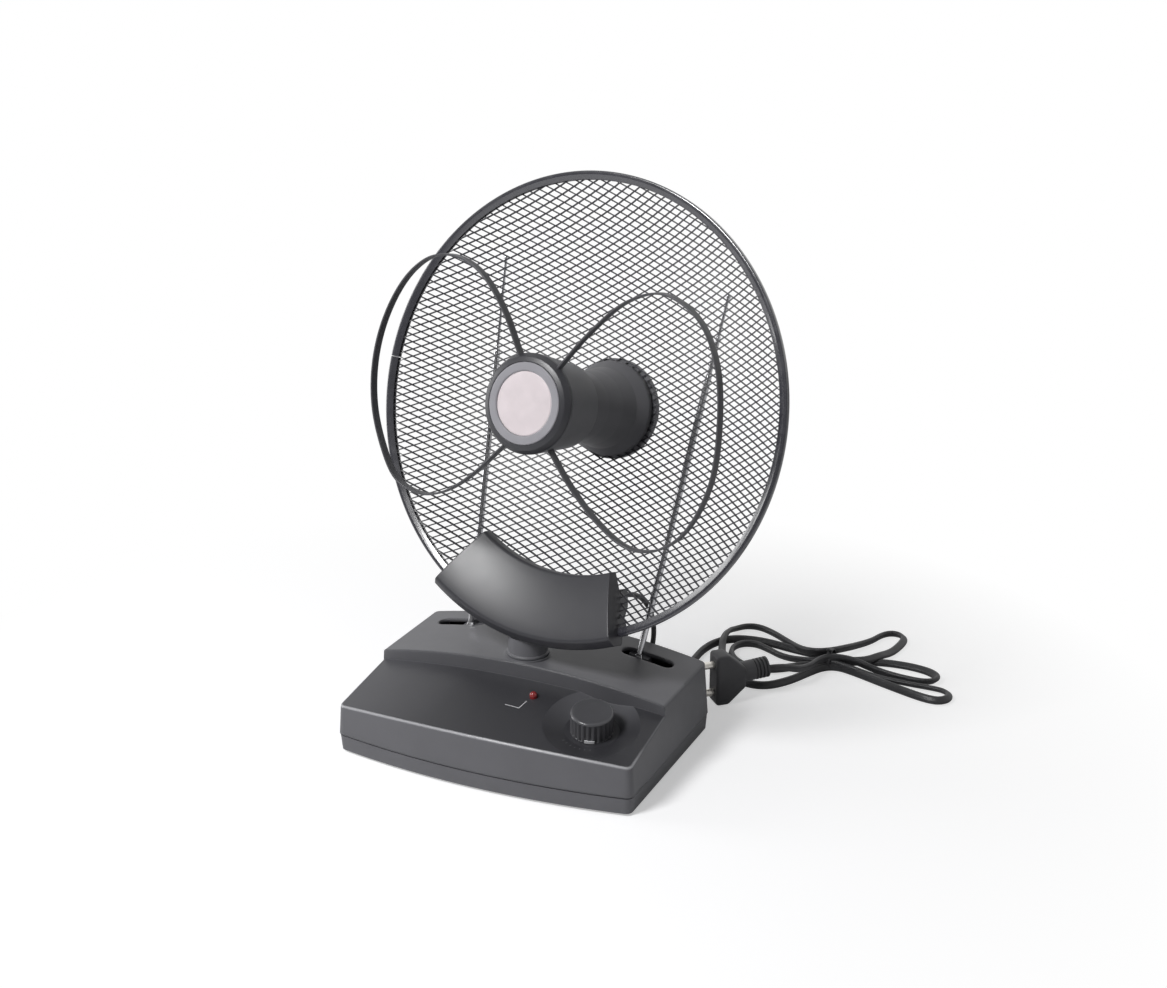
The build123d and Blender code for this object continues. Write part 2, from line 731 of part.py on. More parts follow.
# Head: hollow body, front cap, disc, balun board
rear_wall = body_rear + 3.0
body = turned(
    [
        (boom_bore, body_rear),
        (body_rear_radius - 2.5, body_rear),
        (body_rear_radius, body_rear + 3.0),
        (cap_radius, cap_rear),
        (body_bore, cap_rear),
        (body_bore, balun_at),
        (body_bore - 2.5, balun_at),
        (body_bore - 2.5, rear_wall),
        (boom_bore, rear_wall),
    ]
)
cap_floor = cap_front - disc_inset - disc_thickness
cap = turned(
    [
        (0, cap_floor),
        (disc_radius, cap_floor),
        (disc_radius, cap_front),
        (ring_radius, cap_front),
        (ring_radius + 3.0, cap_front - 1.2),
        (cap_radius, cap_front - 4.2),
        (cap_radius, cap_rear),
        (body_bore, cap_rear),
        (body_bore, cap_floor - 1.8),
        (0, cap_floor - 1.8),
    ]
)
disc = on_axis(disc_radius, cap_floor, cap_floor + disc_thickness)
balun = on_axis(body_bore, balun_at, balun_at + board_thickness)


def loop_place(side):
    """Plane of a loop: pitched forward at the top and turned about the dish axis."""
    return head_frame * Rot(0, 0, loop_turn[side]) * Pos(0, 0, loop_at) * Rot(loop_pitch, 0, 0)


def loop_strip(side):
    """Ribbon bent to a loop, with straight ends that run into the head."""
    sign = sides[side]
    upper = [(sign * x, y) for x, y in loop_points]
    lower = [(x, -y) for x, y in reversed(upper[:-1])]
    first = upper[0]
    reach = hypot(*first)
    inward = (first[0] / reach, first[1] / reach)
    root = (inward[0] * loop_root, inward[1] * loop_root)
    with BuildLine() as path:
        Line(root, first)
        Spline(*upper, *lower, tangents=(inward, (-inward[0], inward[1])))
        Line((first[0], -first[1]), (root[0], -root[1]))
    across = Plane(origin=(*root, 0), x_dir=(0, 0, 1), z_dir=(*inward, 0))
    strip = sweep(across * Rectangle(loop_width, loop_thickness), path=path.line)
    return loop_place(side) * strip


loops = {side: loop_strip(side) for side in sides}
terminals = None
for side in sides:
    for end in (-1, 1):
        x, y = loop_points[0]
        angle = degrees(acos(x / hypot(x, y))) * end
        mouth = Rot(0, 0, angle) * Pos(30, 0, 0) * Box(26, loop_thickness + 0.1, loop_width + 0.1)
        if side == "left":
            mouth = Rot(0, 180, 0) * mouth
        mouth = Location(head_frame).inverse() * loop_place(side) * mouth
        body -= mouth
        cap -= mouth
        inward = Rot(0, 0, angle) * Pos(loop_root + 1.0, 0, -loop_width / 2 - 0.2)
        if side == "left":
            inward = Rot(0, 0, 180 - angle) * Pos(loop_root + 1.0, 0, -loop_width / 2 - 0.2)
        spot = (Location(head_frame).inverse() * loop_place(side) * inward).position
        post = Pos(spot.X, spot.Y, 0) * on_axis(0.9, balun_at + board_thickness, spot.Z)
        terminals = post if terminals is None else terminals + post


# Cords
def cord_radii(points):
    """Bend radii that use most of each straight run."""
    radii = []
    for before, here, after in zip(points, points[1:], points[2:]):
        a = Vector(*here) - Vector(*before)
        b = Vector(*after) - Vector(*here)
        turn = radians(a.get_angle(b))
        radii.append(0.45 * min(a.length, b.length) / tan(turn / 2))
    return radii


def cord_tube(name, points, diameter):
    """Round tube along straight runs and tangent arcs."""
    radii = cord_radii(points)
    path = FilletPolyline(*points, radius=radii)
    section = Plane(origin=path @ 0, z_dir=path % 0) * Circle(diameter / 2)
    tube = sweep(section, path=path)
    expected = pi * diameter**2 / 4 * path.length
    print(name, "length", round(path.length, 1), "volume share", round(tube.volume / expected, 4))
    print(name, "radii", [round(r, 1) for r in radii])
    return tube


relief_end = back_y + relief_length - 4.0
relief_at = Pos(mains_x, back_y, mains_z) * Rot(-90, 0, 0)
relief = Pos(0, 0, (relief_length - 4.0) / 2) * Cone(relief_radius, cord_diameter / 2 + 0.7, relief_length - 4.0)
relief += on_axis(relief_radius - 1.55, -4.0, 0.5)
relief += on_axis(relief_radius, -wall - 4.0, -wall - 1.2)
relief = relief_at * relief
floor_z = cord_diameter / 2
hank_edge_y = back_y + hank_behind
mains_points = [
    (mains_x, relief_end, mains_z),
    (mains_x, relief_end + 12, mains_z),
    (mains_x - 1, relief_end + 26, mains_z - 6.5),
    (mains_x - 2.5, relief_end + 40, floor_z + 3.6),
    (mains_x - 4, relief_end + 54, floor_z + 0.4),
    (mains_x - 4, hank_edge_y, floor_z + 0.4),
]
mains_run = cord_tube("mains_cord_run", mains_points, cord_diameter)
# Outline of the tied turns, from the corner nearest the cord's run
hank_outline = [
    (-10, 0), (-8, 26), (4, 59), (20, 69), (46, 54), (70, 41), (82, 50), (95, 80), (108, 97),
    (118, 78), (112, 47), (138, 44), (155, 28), (168, 4), (150, -3), (114, 8), (83, 16),
    (73, -1), (56, -21), (40, -27), (18, -20), (4, 0),
]
with BuildSketch() as hank_sketch:
    with BuildLine():
        Polyline(*hank_outline, close=True)
    make_face()
    fillet(hank_sketch.vertices(), hank_corner)
hank = Pos(mains_x, hank_edge_y, 0) * extrude(hank_sketch.sketch, hank_height)
tie = Pos(mains_x + tie_at[0], back_y + tie_at[1], hank_height + 1.0) * Box(5.0, 20.0, 2.0)

# Plug lying on its narrow edge, pins towards the base
plug_z = plug_width / 2
plug_place = Pos(mains_x + plug_at[0], back_y + plug_at[1], plug_z) * Rot(0, 0, plug_turn)
shoulder_from = plug_body_length - plug_shoulder[0]
collar_half = plug_width / 2 - plug_shoulder[1]
with BuildSketch(Plane.XZ) as plug_sketch:
    Polygon(
        (0, -plug_width / 2), (shoulder_from, -plug_width / 2), (plug_body_length, -collar_half),
        (plug_body_length, collar_half), (shoulder_from, plug_width / 2), (0, plug_width / 2),
        align=None,
    )
plug = extrude(plug_sketch.sketch, plug_thickness / 2, both=True)
plug = fillet(plug.edges().filter_by(Axis.Y), 1.5)
collar = Pos(plug_body_length + collar_length / 2, 0, 0) * Rot(0, 90, 0) * Cone(
    collar_radius, collar_radius - 0.8, collar_length
)
plug = plug_place * (plug + collar)
pins = None
for sign in (-1, 1):
    pin = Pos(-plug_pin_length / 2, 0, sign * plug_pin_spacing / 2) * Rot(0, 90, 0) * Cylinder(
        plug_pin_radius, plug_pin_length
    )
    pins = pin if pins is None else pins + pin
pins = plug_place * pins
lead_start = plug_place * Pos(plug_body_length + collar_length, 0, 0)
lead_ahead = plug_place * Pos(plug_body_length + collar_length + 7, 0, 0)
lead_points = [
    tuple(lead_start.position),
    tuple(lead_ahead.position),
    (lead_ahead.position.X + 5, lead_ahead.position.Y + 8, plug_z - 4.5),
    (lead_ahead.position.X + 9, lead_ahead.position.Y + 17, hank_height + 4.5),
    (lead_ahead.position.X + 14, lead_ahead.position.Y + 27, hank_height + 1.5),
]
lead = cord_tube("mains_cord_lead", lead_points, cord_diameter)

feed_points = [
    (50.0, 24.0, 94.5),
    (52.2, 34.0, 90.0),
    (53.8, 45.0, 84.5),
    (55.5, 55.0, 77.5),
    (58.0, 62.5, 68.5),
    (58.3, 67.0, 58.0),
    (56.5, 68.5, 47.5),
    (53.8, 66.0, 37.5),
    (51.2, 59.5, 30.5),
    (50.0, 51.0, 26.5),
]
feed = cord_tube("feed_cable", feed_points, feed_diameter)
feed_way = cord_tube("feed_cable hole", feed_points, feed_diameter + 2 * seat_clearance)
shell -= feed_way
bracket_rear -= feed_way

nodes = {
    "base_top_shell": shell,
    "base_bottom_cover": cover,
    "rubber_feet": feet,
    "housing_screws": screws,
    "indicator_lamp": lamp,
    "gain_potentiometer": pot,
    "pot_shaft": shaft,
    "gain_knob": knob,
    "amplifier_board": board,
    "shield_can": can,
    "smoothing_capacitor": capacitor,
    "transformer_core": core,
    "transformer_winding": winding,
    "tv_socket_shell": socket_shell,
    "tv_socket_insulator": socket_core,
    "tv_socket_contact": socket_pin,
    "swivel_neck": neck,
    "swivel_clip": clip,
    "swivel_screw": swivel_screw,
    "reflector_rim": head_frame * rim,
    "reflector_mesh": head_frame * bowl,
    "bracket_front": bracket_front,
    "bracket_rear": bracket_rear,
    "bracket_screws": head_frame * bracket_screws,
    "feed_boom": head_frame * boom,
    "rear_cup": head_frame * cup,
    "boom_screw": head_frame * boom_screw,
    "head_body": head_frame * body,
    "head_cap": head_frame * cap,
    "head_disc": head_frame * disc,
    "balun_board": head_frame * balun,
    "loop_terminals": head_frame * terminals,
    "loop_right": loops["right"],
    "loop_left": loops["left"],
    "feed_cable": feed,
    "cord_relief": relief,
    "mains_cord_run": mains_run,
    "mains_cord_hank": hank,
    "mains_cord_lead": lead,
    "cord_tie": tie,
    "plug_body": plug,
    "plug_pins": pins,
}
for side in sides:
    nodes["rod_hinge_block_" + side], nodes["rod_hinge_pin_" + side] = hinge_parts(side)
    tongue_piece, outer_piece, middle_piece, tip_piece = rod_parts(side)
    nodes["rod_tongue_" + side] = tongue_piece
    nodes["rod_outer_" + side] = outer_piece
    nodes["rod_middle_" + side] = middle_piece
    nodes["rod_tip_" + side] = tip_piece

print("knob axis", tuple(round(v, 5) for v in knob_plane.z_dir), "through", tuple(round(v, 3) for v in knob_plane.origin))
print("rod pivot", round(pivot_y, 3), round(pivot_z, 3))
for side in sides:
    print("rod", side, "along", tuple(round(v, 5) for v in rod_plane(side).z_dir))
os.makedirs("parts", exist_ok=True)
for name, piece in nodes.items():
    export_step(piece, "parts/" + name + ".step")
print("nodes", len(nodes))
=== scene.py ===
"""Looks of the indoor antenna: pieces, materials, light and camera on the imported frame."""
import json
from math import cos, hypot, pi, radians, sin, sqrt

import bmesh
import bpy
from mathutils import Matrix, Vector


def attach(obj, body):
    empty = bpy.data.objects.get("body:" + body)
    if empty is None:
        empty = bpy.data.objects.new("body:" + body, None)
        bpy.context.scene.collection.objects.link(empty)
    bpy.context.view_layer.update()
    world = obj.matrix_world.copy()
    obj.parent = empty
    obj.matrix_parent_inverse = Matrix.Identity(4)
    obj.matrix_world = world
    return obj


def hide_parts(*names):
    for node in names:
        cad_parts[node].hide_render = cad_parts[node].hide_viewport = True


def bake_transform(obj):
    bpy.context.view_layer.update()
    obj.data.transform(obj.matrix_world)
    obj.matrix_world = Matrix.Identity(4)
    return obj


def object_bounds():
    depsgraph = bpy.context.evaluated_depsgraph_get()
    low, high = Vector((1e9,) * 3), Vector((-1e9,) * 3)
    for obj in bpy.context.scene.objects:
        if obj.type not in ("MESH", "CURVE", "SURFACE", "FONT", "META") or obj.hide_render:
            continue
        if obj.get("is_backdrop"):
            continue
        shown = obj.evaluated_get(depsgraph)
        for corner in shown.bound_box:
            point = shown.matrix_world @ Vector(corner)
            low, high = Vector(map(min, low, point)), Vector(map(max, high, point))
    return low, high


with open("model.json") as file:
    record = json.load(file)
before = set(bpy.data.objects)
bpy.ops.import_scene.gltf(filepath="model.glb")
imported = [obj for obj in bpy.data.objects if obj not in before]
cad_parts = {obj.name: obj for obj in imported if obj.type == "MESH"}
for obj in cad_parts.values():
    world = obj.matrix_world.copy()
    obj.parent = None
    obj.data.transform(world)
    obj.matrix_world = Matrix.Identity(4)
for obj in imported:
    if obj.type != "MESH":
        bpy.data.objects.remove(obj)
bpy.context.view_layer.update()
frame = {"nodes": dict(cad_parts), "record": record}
nodes = frame["nodes"]
record = frame["record"]
slot_of = {part["node"]: part["material_slot"] for part in record["subparts"]}
scene = bpy.context.scene
scene.view_settings.view_transform = "Standard"
MM = 0.001
UP = Vector((0, 0, 1))


# Camera at the photograph's angle
def make_camera():
    azimuth = radians(25.03)
    elevation = radians(19.94)
    roll = radians(-0.25)
    target = Vector((0.03216, 0.01501, 0.15874))
    distance = 1.04623
    back = Vector((sin(azimuth) * cos(elevation), -cos(azimuth) * cos(elevation), sin(elevation)))
    right = Vector((cos(azimuth), sin(azimuth), 0))
    up = back.cross(right)
    side = right * cos(roll) + up * sin(roll)
    top = up * cos(roll) - right * sin(roll)
    data = bpy.data.cameras.new("camera")
    data.lens = 55.67
    data.sensor_width = 36.0
    data.sensor_fit = "HORIZONTAL"
    camera = bpy.data.objects.new("camera", data)
    scene.collection.objects.link(camera)
    turn = Matrix((side, top, back)).transposed().to_4x4()
    camera.matrix_world = Matrix.Translation(target + back * distance) @ turn
    scene.camera = camera


make_camera()


# Material helpers
cloud_scale = 45.0
grain_depth = 0.00003
coat_roughness = 0.1


def add(tree, kind, inputs=None, **settings):
    """New shader node with its settings and unlinked inputs."""
    node = tree.nodes.new(kind)
    for key, value in settings.items():
        setattr(node, key, value)
    for key, value in (inputs or {}).items():
        node.inputs[key].default_value = value
    return node


def blank(name):
    """Material with a plain shader."""
    material = bpy.data.materials.new(name)
    material.use_nodes = True
    tree = material.node_tree
    return material, tree, tree.nodes["Principled BSDF"]


def tinted(colour, share):
    return (min(colour[0] * share, 1), min(colour[1] * share, 1), min(colour[2] * share, 1), 1)


def two_tone(tree, value, low, high, low_at=0.35, high_at=0.65):
    """Colour ramp between two colours."""
    ramp = add(tree, "ShaderNodeValToRGB")
    ramp.color_ramp.elements[0].position = low_at
    ramp.color_ramp.elements[0].color = low
    ramp.color_ramp.elements[1].position = high_at
    ramp.color_ramp.elements[1].color = high
    tree.links.new(value, ramp.inputs["Fac"])
    return ramp.outputs["Color"]


def spread(tree, value, low, high, low_at=0.35, high_at=0.65):
    """Map a linked value to a range."""
    node = add(tree, "ShaderNodeMapRange", {1: low_at, 2: high_at, 3: low, 4: high})
    tree.links.new(value, node.inputs["Value"])
    return node.outputs["Result"]


def combined(tree, operation, first, second):
    """Result of a math node on two linked values."""
    node = add(tree, "ShaderNodeMath", operation=operation)
    tree.links.new(first, node.inputs[0])
    tree.links.new(second, node.inputs[1])
    return node.outputs["Value"]


def scaled(tree, value, factor, offset):
    """A linked value times a factor, plus an offset."""
    node = add(tree, "ShaderNodeMath", {1: factor, 2: offset}, operation="MULTIPLY_ADD")
    tree.links.new(value, node.inputs[0])
    return node.outputs["Value"]


def axes(tree, vector):
    """The X, Y and Z of a linked vector."""
    node = add(tree, "ShaderNodeSeparateXYZ")
    tree.links.new(vector, node.inputs["Vector"])
    return node.outputs


def mixed(tree, share, first, second):
    """Mix of two shaders."""
    node = add(tree, "ShaderNodeMixShader")
    for socket, source in zip(node.inputs, (share, first, second)):
        tree.links.new(source, socket)
    return node.outputs[0]


def surface(
    name, colour, roughness, metallic=0.0, specular=0.5, coat=0.0, tone=0.10, swing=0.05,
    grain_scale=1800.0, strength=0.25, stretch=(1, 1, 1),
):
    """Moulded, painted or plated finish: cloudy tone, uneven roughness and a fine bump."""
    material, tree, shader = blank(name)
    shader.inputs["Metallic"].default_value = metallic
    shader.inputs["Specular IOR Level"].default_value = specular
    shader.inputs["Coat Weight"].default_value = coat
    shader.inputs["Coat Roughness"].default_value = coat_roughness
    place = add(tree, "ShaderNodeTexCoord")
    mapping = add(tree, "ShaderNodeMapping", {"Scale": stretch})
    tree.links.new(place.outputs["Object"], mapping.inputs["Vector"])
    vector = mapping.outputs["Vector"]
    cloud = add(tree, "ShaderNodeTexNoise", {"Scale": cloud_scale, "Detail": 4.0})
    patch = add(tree, "ShaderNodeTexNoise", {"Scale": cloud_scale * 3.1, "Detail": 3.0})
    fine = add(tree, "ShaderNodeTexNoise", {"Scale": grain_scale, "Detail": 2.0})
    for noise in (cloud, patch, fine):
        tree.links.new(vector, noise.inputs["Vector"])
    ramp = two_tone(tree, cloud.outputs["Fac"], tinted(colour, 1 - tone), tinted(colour, 1 + tone))
    tree.links.new(ramp, shader.inputs["Base Color"])
    rough = spread(tree, patch.outputs["Fac"], roughness - swing, roughness + swing)
    tree.links.new(rough, shader.inputs["Roughness"])
    bump = add(tree, "ShaderNodeBump", {"Strength": strength, "Distance": grain_depth})
    tree.links.new(fine.outputs["Fac"], bump.inputs["Height"])
    tree.links.new(bump.outputs["Normal"], shader.inputs["Normal"])
    return material


def spun_disc(name, colour):
    """Pale satin disc with fine turned rings round its own axis."""
    material, tree, shader = blank(name)
    shader.inputs["Specular IOR Level"].default_value = 0.3
    place = add(tree, "ShaderNodeTexCoord")
    rings = add(
        tree, "ShaderNodeTexWave", {"Scale": 420.0, "Distortion": 0.6, "Detail": 2.0},
        wave_type="RINGS", rings_direction="Z",
    )
    cloud = add(tree, "ShaderNodeTexNoise", {"Scale": 60.0, "Detail": 4.0})
    for node in (rings, cloud):
        tree.links.new(place.outputs["Object"], node.inputs["Vector"])
    ramp = two_tone(tree, cloud.outputs["Fac"], tinted(colour, 0.93), tinted(colour, 1.05))
    tree.links.new(ramp, shader.inputs["Base Color"])
    rough = spread(tree, rings.outputs["Fac"], 0.26, 0.36, 0.0, 1.0)
    tree.links.new(rough, shader.inputs["Roughness"])
    bump = add(tree, "ShaderNodeBump", {"Strength": 0.12, "Distance": grain_depth})
    tree.links.new(rings.outputs["Fac"], bump.inputs["Height"])
    tree.links.new(bump.outputs["Normal"], shader.inputs["Normal"])
    return material


def red_lens(name):
    """Red lamp dome, glossy, with a painted glow: brighter red in the middle, where it faces the view."""
    material, tree, shader = blank(name)
    shader.inputs["Coat Weight"].default_value = 0.6
    shader.inputs["Coat Roughness"].default_value = 0.05
    # Painted glow: the dome's colour is brightest where it faces the view
    facing = add(tree, "ShaderNodeLayerWeight", {"Blend": 0.4})
    painted_glow_red = (0.30, 0.022, 0.024, 1)
    deep = (0.09, 0.006, 0.008, 1)
    ramp = two_tone(tree, facing.outputs["Facing"], painted_glow_red, deep, 0.1, 0.8)
    tree.links.new(ramp, shader.inputs["Base Color"])
    place = add(tree, "ShaderNodeTexCoord")
    noise = add(tree, "ShaderNodeTexNoise", {"Scale": 500.0, "Detail": 2.0})
    tree.links.new(place.outputs["Object"], noise.inputs["Vector"])
    tree.links.new(spread(tree, noise.outputs["Fac"], 0.10, 0.2), shader.inputs["Roughness"])
    return material


housing_grey = (0.132, 0.132, 0.143)
finishes = {
    "housing_plastic": surface("housing_plastic", housing_grey, 0.40, tone=0.04, swing=0.01, strength=0.3),
    "knob_plastic": surface(
        "knob_plastic", (0.088, 0.088, 0.095), 0.24, tone=0.05, swing=0.02, grain_scale=2600.0
    ),
    "head_plastic": surface("head_plastic", (0.130, 0.130, 0.139), 0.40, tone=0.04, swing=0.015),
    "front_disc": spun_disc("front_disc", (0.72, 0.65, 0.67)),
    "mesh_metal": surface("mesh_metal", (0.034, 0.034, 0.040), 0.40, tone=0.15, grain_scale=2500.0),
    "rim_metal": surface(
        "rim_metal", (0.030, 0.030, 0.039), 0.26, specular=0.9, coat=1.0, swing=0.04, grain_scale=700.0,
        strength=0.12,
    ),
    "loop_metal": surface("loop_metal", (0.074, 0.074, 0.081), 0.36, grain_scale=1500.0),
    "rod_metal": surface(
        "rod_metal", (0.66, 0.66, 0.68), 0.20, metallic=1.0, tone=0.06, swing=0.04, grain_scale=900.0,
        strength=0.08, stretch=(4, 4, 0.4),
    ),
    "steel": surface("steel", (0.50, 0.50, 0.51), 0.36, metallic=1.0, stretch=(1, 1, 6)),
    "lamp_red": red_lens("lamp_red"),
    "board_green": surface("board_green", (0.05, 0.2, 0.09), 0.35),
    "copper": surface("copper", (0.55, 0.27, 0.12), 0.34, metallic=1.0, stretch=(1, 8, 1)),
    "insulator_white": surface("insulator_white", (0.72, 0.71, 0.67), 0.45),
    "foot_rubber": surface("foot_rubber", (0.035, 0.035, 0.036), 0.75, grain_scale=1200.0, strength=0.5),
    "cord_rubber": surface(
        "cord_rubber", (0.046, 0.046, 0.049), 0.42, tone=0.14, grain_scale=1400.0, strength=0.3
    ),
    "plug_plastic": surface("plug_plastic", (0.060, 0.060, 0.064), 0.48, strength=0.35),
    "pin_metal": surface("pin_metal", (0.86, 0.83, 0.77), 0.30, metallic=1.0, swing=0.06),
}
bracket_black = surface(
    "bracket_black", (0.034, 0.034, 0.040), 0.36, specular=0.58, tone=0.03, swing=0.01, strength=0.2
)
ring_grey = surface("ring_grey", (0.32, 0.315, 0.34), 0.34, tone=0.05)
ink_grey = surface("ink_grey", (0.22, 0.22, 0.23), 0.5, tone=0.08, grain_scale=3000.0)
ink_white = surface("ink_white", (0.70, 0.70, 0.72), 0.5, tone=0.08, grain_scale=3000.0)


# Mesh helpers, all in millimetres until a piece is made
def rounded(points, radii, steps=5):
    """Closed outline with its corners rounded."""
    count = len(points)
    if not isinstance(radii, (list, tuple)):
        radii = [radii] * count
    outline = []
    for i in range(count):
        here = Vector(points[i])
        before = Vector(points[i - 1]) - here
        after = Vector(points[(i + 1) % count]) - here
        angle = before.angle(after)
        radius = radii[i]
        if radius <= 0 or angle > pi - 0.02:
            outline.append(tuple(here))
            continue
        reach = radius / max(sin(angle / 2) / cos(angle / 2), 1e-6)
        reach = min(reach, 0.48 * before.length, 0.48 * after.length)
        start = here + before.normalized() * reach
        end = here + after.normalized() * reach
        for k in range(steps + 1):
            t = k / steps
            outline.append(tuple(start * (1 - t) ** 2 + here * 2 * t * (1 - t) + end * t**2))
    return outline


def circle(radius, steps):
    """Points round a circle."""
    angles = [2 * pi * i / steps for i in range(steps)]
    return [(radius * cos(angle), radius * sin(angle)) for angle in angles]


def lathe(outline, steps, start=0.0, turn=360.0):
    """Closed outline of (radius, level) turned about local Z; a part turn gets end faces."""
    bm = bmesh.new()
    whole = turn >= 360.0
    rings = []
    for i in range(steps if whole else steps + 1):
        angle = radians(start + turn * i / steps)
        rings.append([bm.verts.new((r * cos(angle), r * sin(angle), z)) for r, z in outline])
    count = len(outline)
    for i in range(steps):
        a = rings[i]
        b = rings[(i + 1) % len(rings)]
        for j in range(count):
            k = (j + 1) % count
            bm.faces.new((a[j], b[j], b[k], a[k]))
    if not whole:
        bm.faces.new(rings[0])
        bm.faces.new(list(reversed(rings[-1])))
    bmesh.ops.remove_doubles(bm, verts=bm.verts, dist=0.0005)
    bmesh.ops.dissolve_degenerate(bm, edges=bm.edges, dist=0.0005)
    return bm


def prism(outline, low, high, bevel, segments=3):
    """Outline in local XY between two levels, with rounded edges."""
    bm = bmesh.new()
    bottom = [bm.verts.new((x, y, low)) for x, y in outline]
    top = [bm.verts.new((x, y, high)) for x, y in outline]
    count = len(outline)
    for i in range(count):
        k = (i + 1) % count
        bm.faces.new((bottom[i], bottom[k], top[k], top[i]))
    bm.faces.new(top)
    bm.faces.new(list(reversed(bottom)))
    soften(bm, bevel, segments)
    return bm


def soften(bm, width, segments, sharper=35.0):
    """Round the edges that turn by more than an angle."""
    bmesh.ops.recalc_face_normals(bm, faces=bm.faces)
    edges = [e for e in bm.edges if len(e.link_faces) == 2 and e.calc_face_angle() > radians(sharper)]
    bmesh.ops.bevel(
        bm, geom=edges, offset=width, segments=segments, affect="EDGES", profile=0.5, clamp_overlap=True
    )


def sideways(share, along):
    """Section laid across X at every point of a sweep."""
    return Vector((1, 0, 0))


def upwards(share, along):
    """Section laid across Z at every point of a sweep."""
    return UP


def sweep(points, section, widest):
    """Section of (across, upwards) points carried along a line; widest gives the direction across."""
    bm = bmesh.new()
    rings = []
    last = len(points) - 1
    for i, point in enumerate(points):
        along = (points[min(i + 1, last)] - points[max(i - 1, 0)]).normalized()
        across = widest(i / last, along)
        across = (across - along * across.dot(along)).normalized()
        lift = along.cross(across)
        rings.append([bm.verts.new(point + across * a + lift * b) for a, b in section])
    count = len(section)
    for a, b in zip(rings, rings[1:]):
        for j in range(count):
            k = (j + 1) % count
            bm.faces.new((a[j], b[j], b[k], a[k]))
    bm.faces.new(list(reversed(rings[0])))
    bm.faces.new(rings[-1])
    return bm


def join(*parts):
    """Several meshes as one."""
    whole = bmesh.new()
    for part in parts:
        mesh = bpy.data.meshes.new("part")
        part.to_mesh(mesh)
        part.free()
        whole.from_mesh(mesh)
        bpy.data.meshes.remove(mesh)
    return whole


def moved(bm, matrix):
    bmesh.ops.transform(bm, matrix=matrix, verts=bm.verts)
    return bm


def piece(name, bm, body, slot, replaced, place=None, material=None, sharp=38.0, own_axes=False):
    """Finished piece: shading broken at sharp edges, material, body, slot and the nodes it stands for."""
    bmesh.ops.recalc_face_normals(bm, faces=bm.faces)
    for face in bm.faces:
        face.smooth = True
    for edge in bm.edges:
        edge.smooth = len(edge.link_faces) == 2 and edge.calc_face_angle() < radians(sharp)
    bmesh.ops.scale(bm, vec=(MM, MM, MM), verts=bm.verts)
    mesh = bpy.data.meshes.new(name)
    bm.to_mesh(mesh)
    bm.free()
    obj = bpy.data.objects.new(name, mesh)
    scene.collection.objects.link(obj)
    mesh.materials.append(material or finishes[slot])
    if place is not None and own_axes:
        obj.matrix_world = place
    elif place is not None:
        mesh.transform(place)
    if body:
        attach(obj, body)
    if replaced:
        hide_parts(*replaced)
    return obj


def at(x, y, z):
    """Place given in millimetres."""
    return Matrix.Translation((x * MM, y * MM, z * MM))


def turned(angle, axis):
    return Matrix.Rotation(radians(angle), 4, axis)


# Sizes of the frame, in millimetres
foot_height = 1.5
half_width = 96.3
front_y = -60.7
back_y = 60.7
front_bow = 9.1
lip_z = foot_height + 28.4
deck_z = foot_height + 43.1
riser_foot_z = deck_z - 6.1
ridge_y = -7.2
ridge_bow = 3.4
deck_crown = 11.0
neck_y = 4.5
deck_top = deck_z + deck_crown
rim_radius = 137.2
rim_inner = 132.0
rim_middle = -1.8
rim_back = -4.1
rim_front = 0.5
bowl_radius = 131.6
bowl_depth = 44.5
head_tilt = 16.42
head_turn = -8.87
head_lean = 4.2
head_place = (
    at(0, neck_y, deck_top + 2.9)
    @ turned(head_turn, "Z")
    @ turned(head_lean, "Y")
    @ at(0, -4.78 + rim_radius * sin(radians(head_tilt)), 14.12 + rim_radius * cos(radians(head_tilt)))
    @ turned(90 - head_tilt, "X")
)
sphere_radius = (bowl_radius**2 + bowl_depth**2) / (2 * bowl_depth)
sphere_centre = rim_middle - bowl_depth + sphere_radius


def bowl_level(radius, offset=0.0):
    """Distance of the mesh from the rim plane."""
    return sphere_centre - sqrt((sphere_radius - offset) ** 2 - radius**2)


def arc_rise(x, crown):
    """Height of a circular crown above its ends."""
    radius = (half_width**2 + crown**2) / (2 * crown)
    return sqrt(radius**2 - x**2) - (radius - crown)


panel_front_y = front_y - front_bow
panel_front_end = lip_z - (riser_foot_z - lip_z) * front_bow / (ridge_y - front_y)
panel_front_crown = lip_z + 4.0 - panel_front_end
panel_rear_crown = deck_crown - 2.5


def panel_level(x, y):
    """Height of the control panel."""
    share = (y - panel_front_y) / (ridge_y - panel_front_y)
    front = panel_front_end + arc_rise(x, panel_front_crown)
    rear = riser_foot_z + arc_rise(x, panel_rear_crown)
    return front + share * (rear - front)


def panel_place(x, y):
    """Place on the panel, square to it."""
    slope_x = (panel_level(x + 1, y) - panel_level(x - 1, y)) / 2
    slope_y = (panel_level(x, y + 1) - panel_level(x, y - 1)) / 2
    side = Vector((1, 0, slope_x)).normalized()
    out = Vector((-slope_x, -slope_y, 1)).normalized()
    turn = Matrix((side, out.cross(side), out)).transposed().to_4x4()
    return at(x, y, panel_level(x, y)) @ turn


# Cords: the routes' points, in metres, on one smooth line each
def cord_line(name, points):
    """Points along the smooth line that the route's points control, in millimetres."""
    data = bpy.data.curves.new(name, "CURVE")
    data.dimensions = "3D"
    data.resolution_u = 16
    spline = data.splines.new("NURBS")
    spline.points.add(len(points) - 1)
    for target, point in zip(spline.points, points):
        target.co = (*point, 1.0)
    spline.order_u = 3
    spline.use_endpoint_u = True
    holder = bpy.data.objects.new(name, data)
    mesh = bpy.data.meshes.new_from_object(holder)
    line = [v.co / MM for v in mesh.vertices]
    bpy.data.objects.remove(holder)
    bpy.data.curves.remove(data)
    bpy.data.meshes.remove(mesh)
    return line


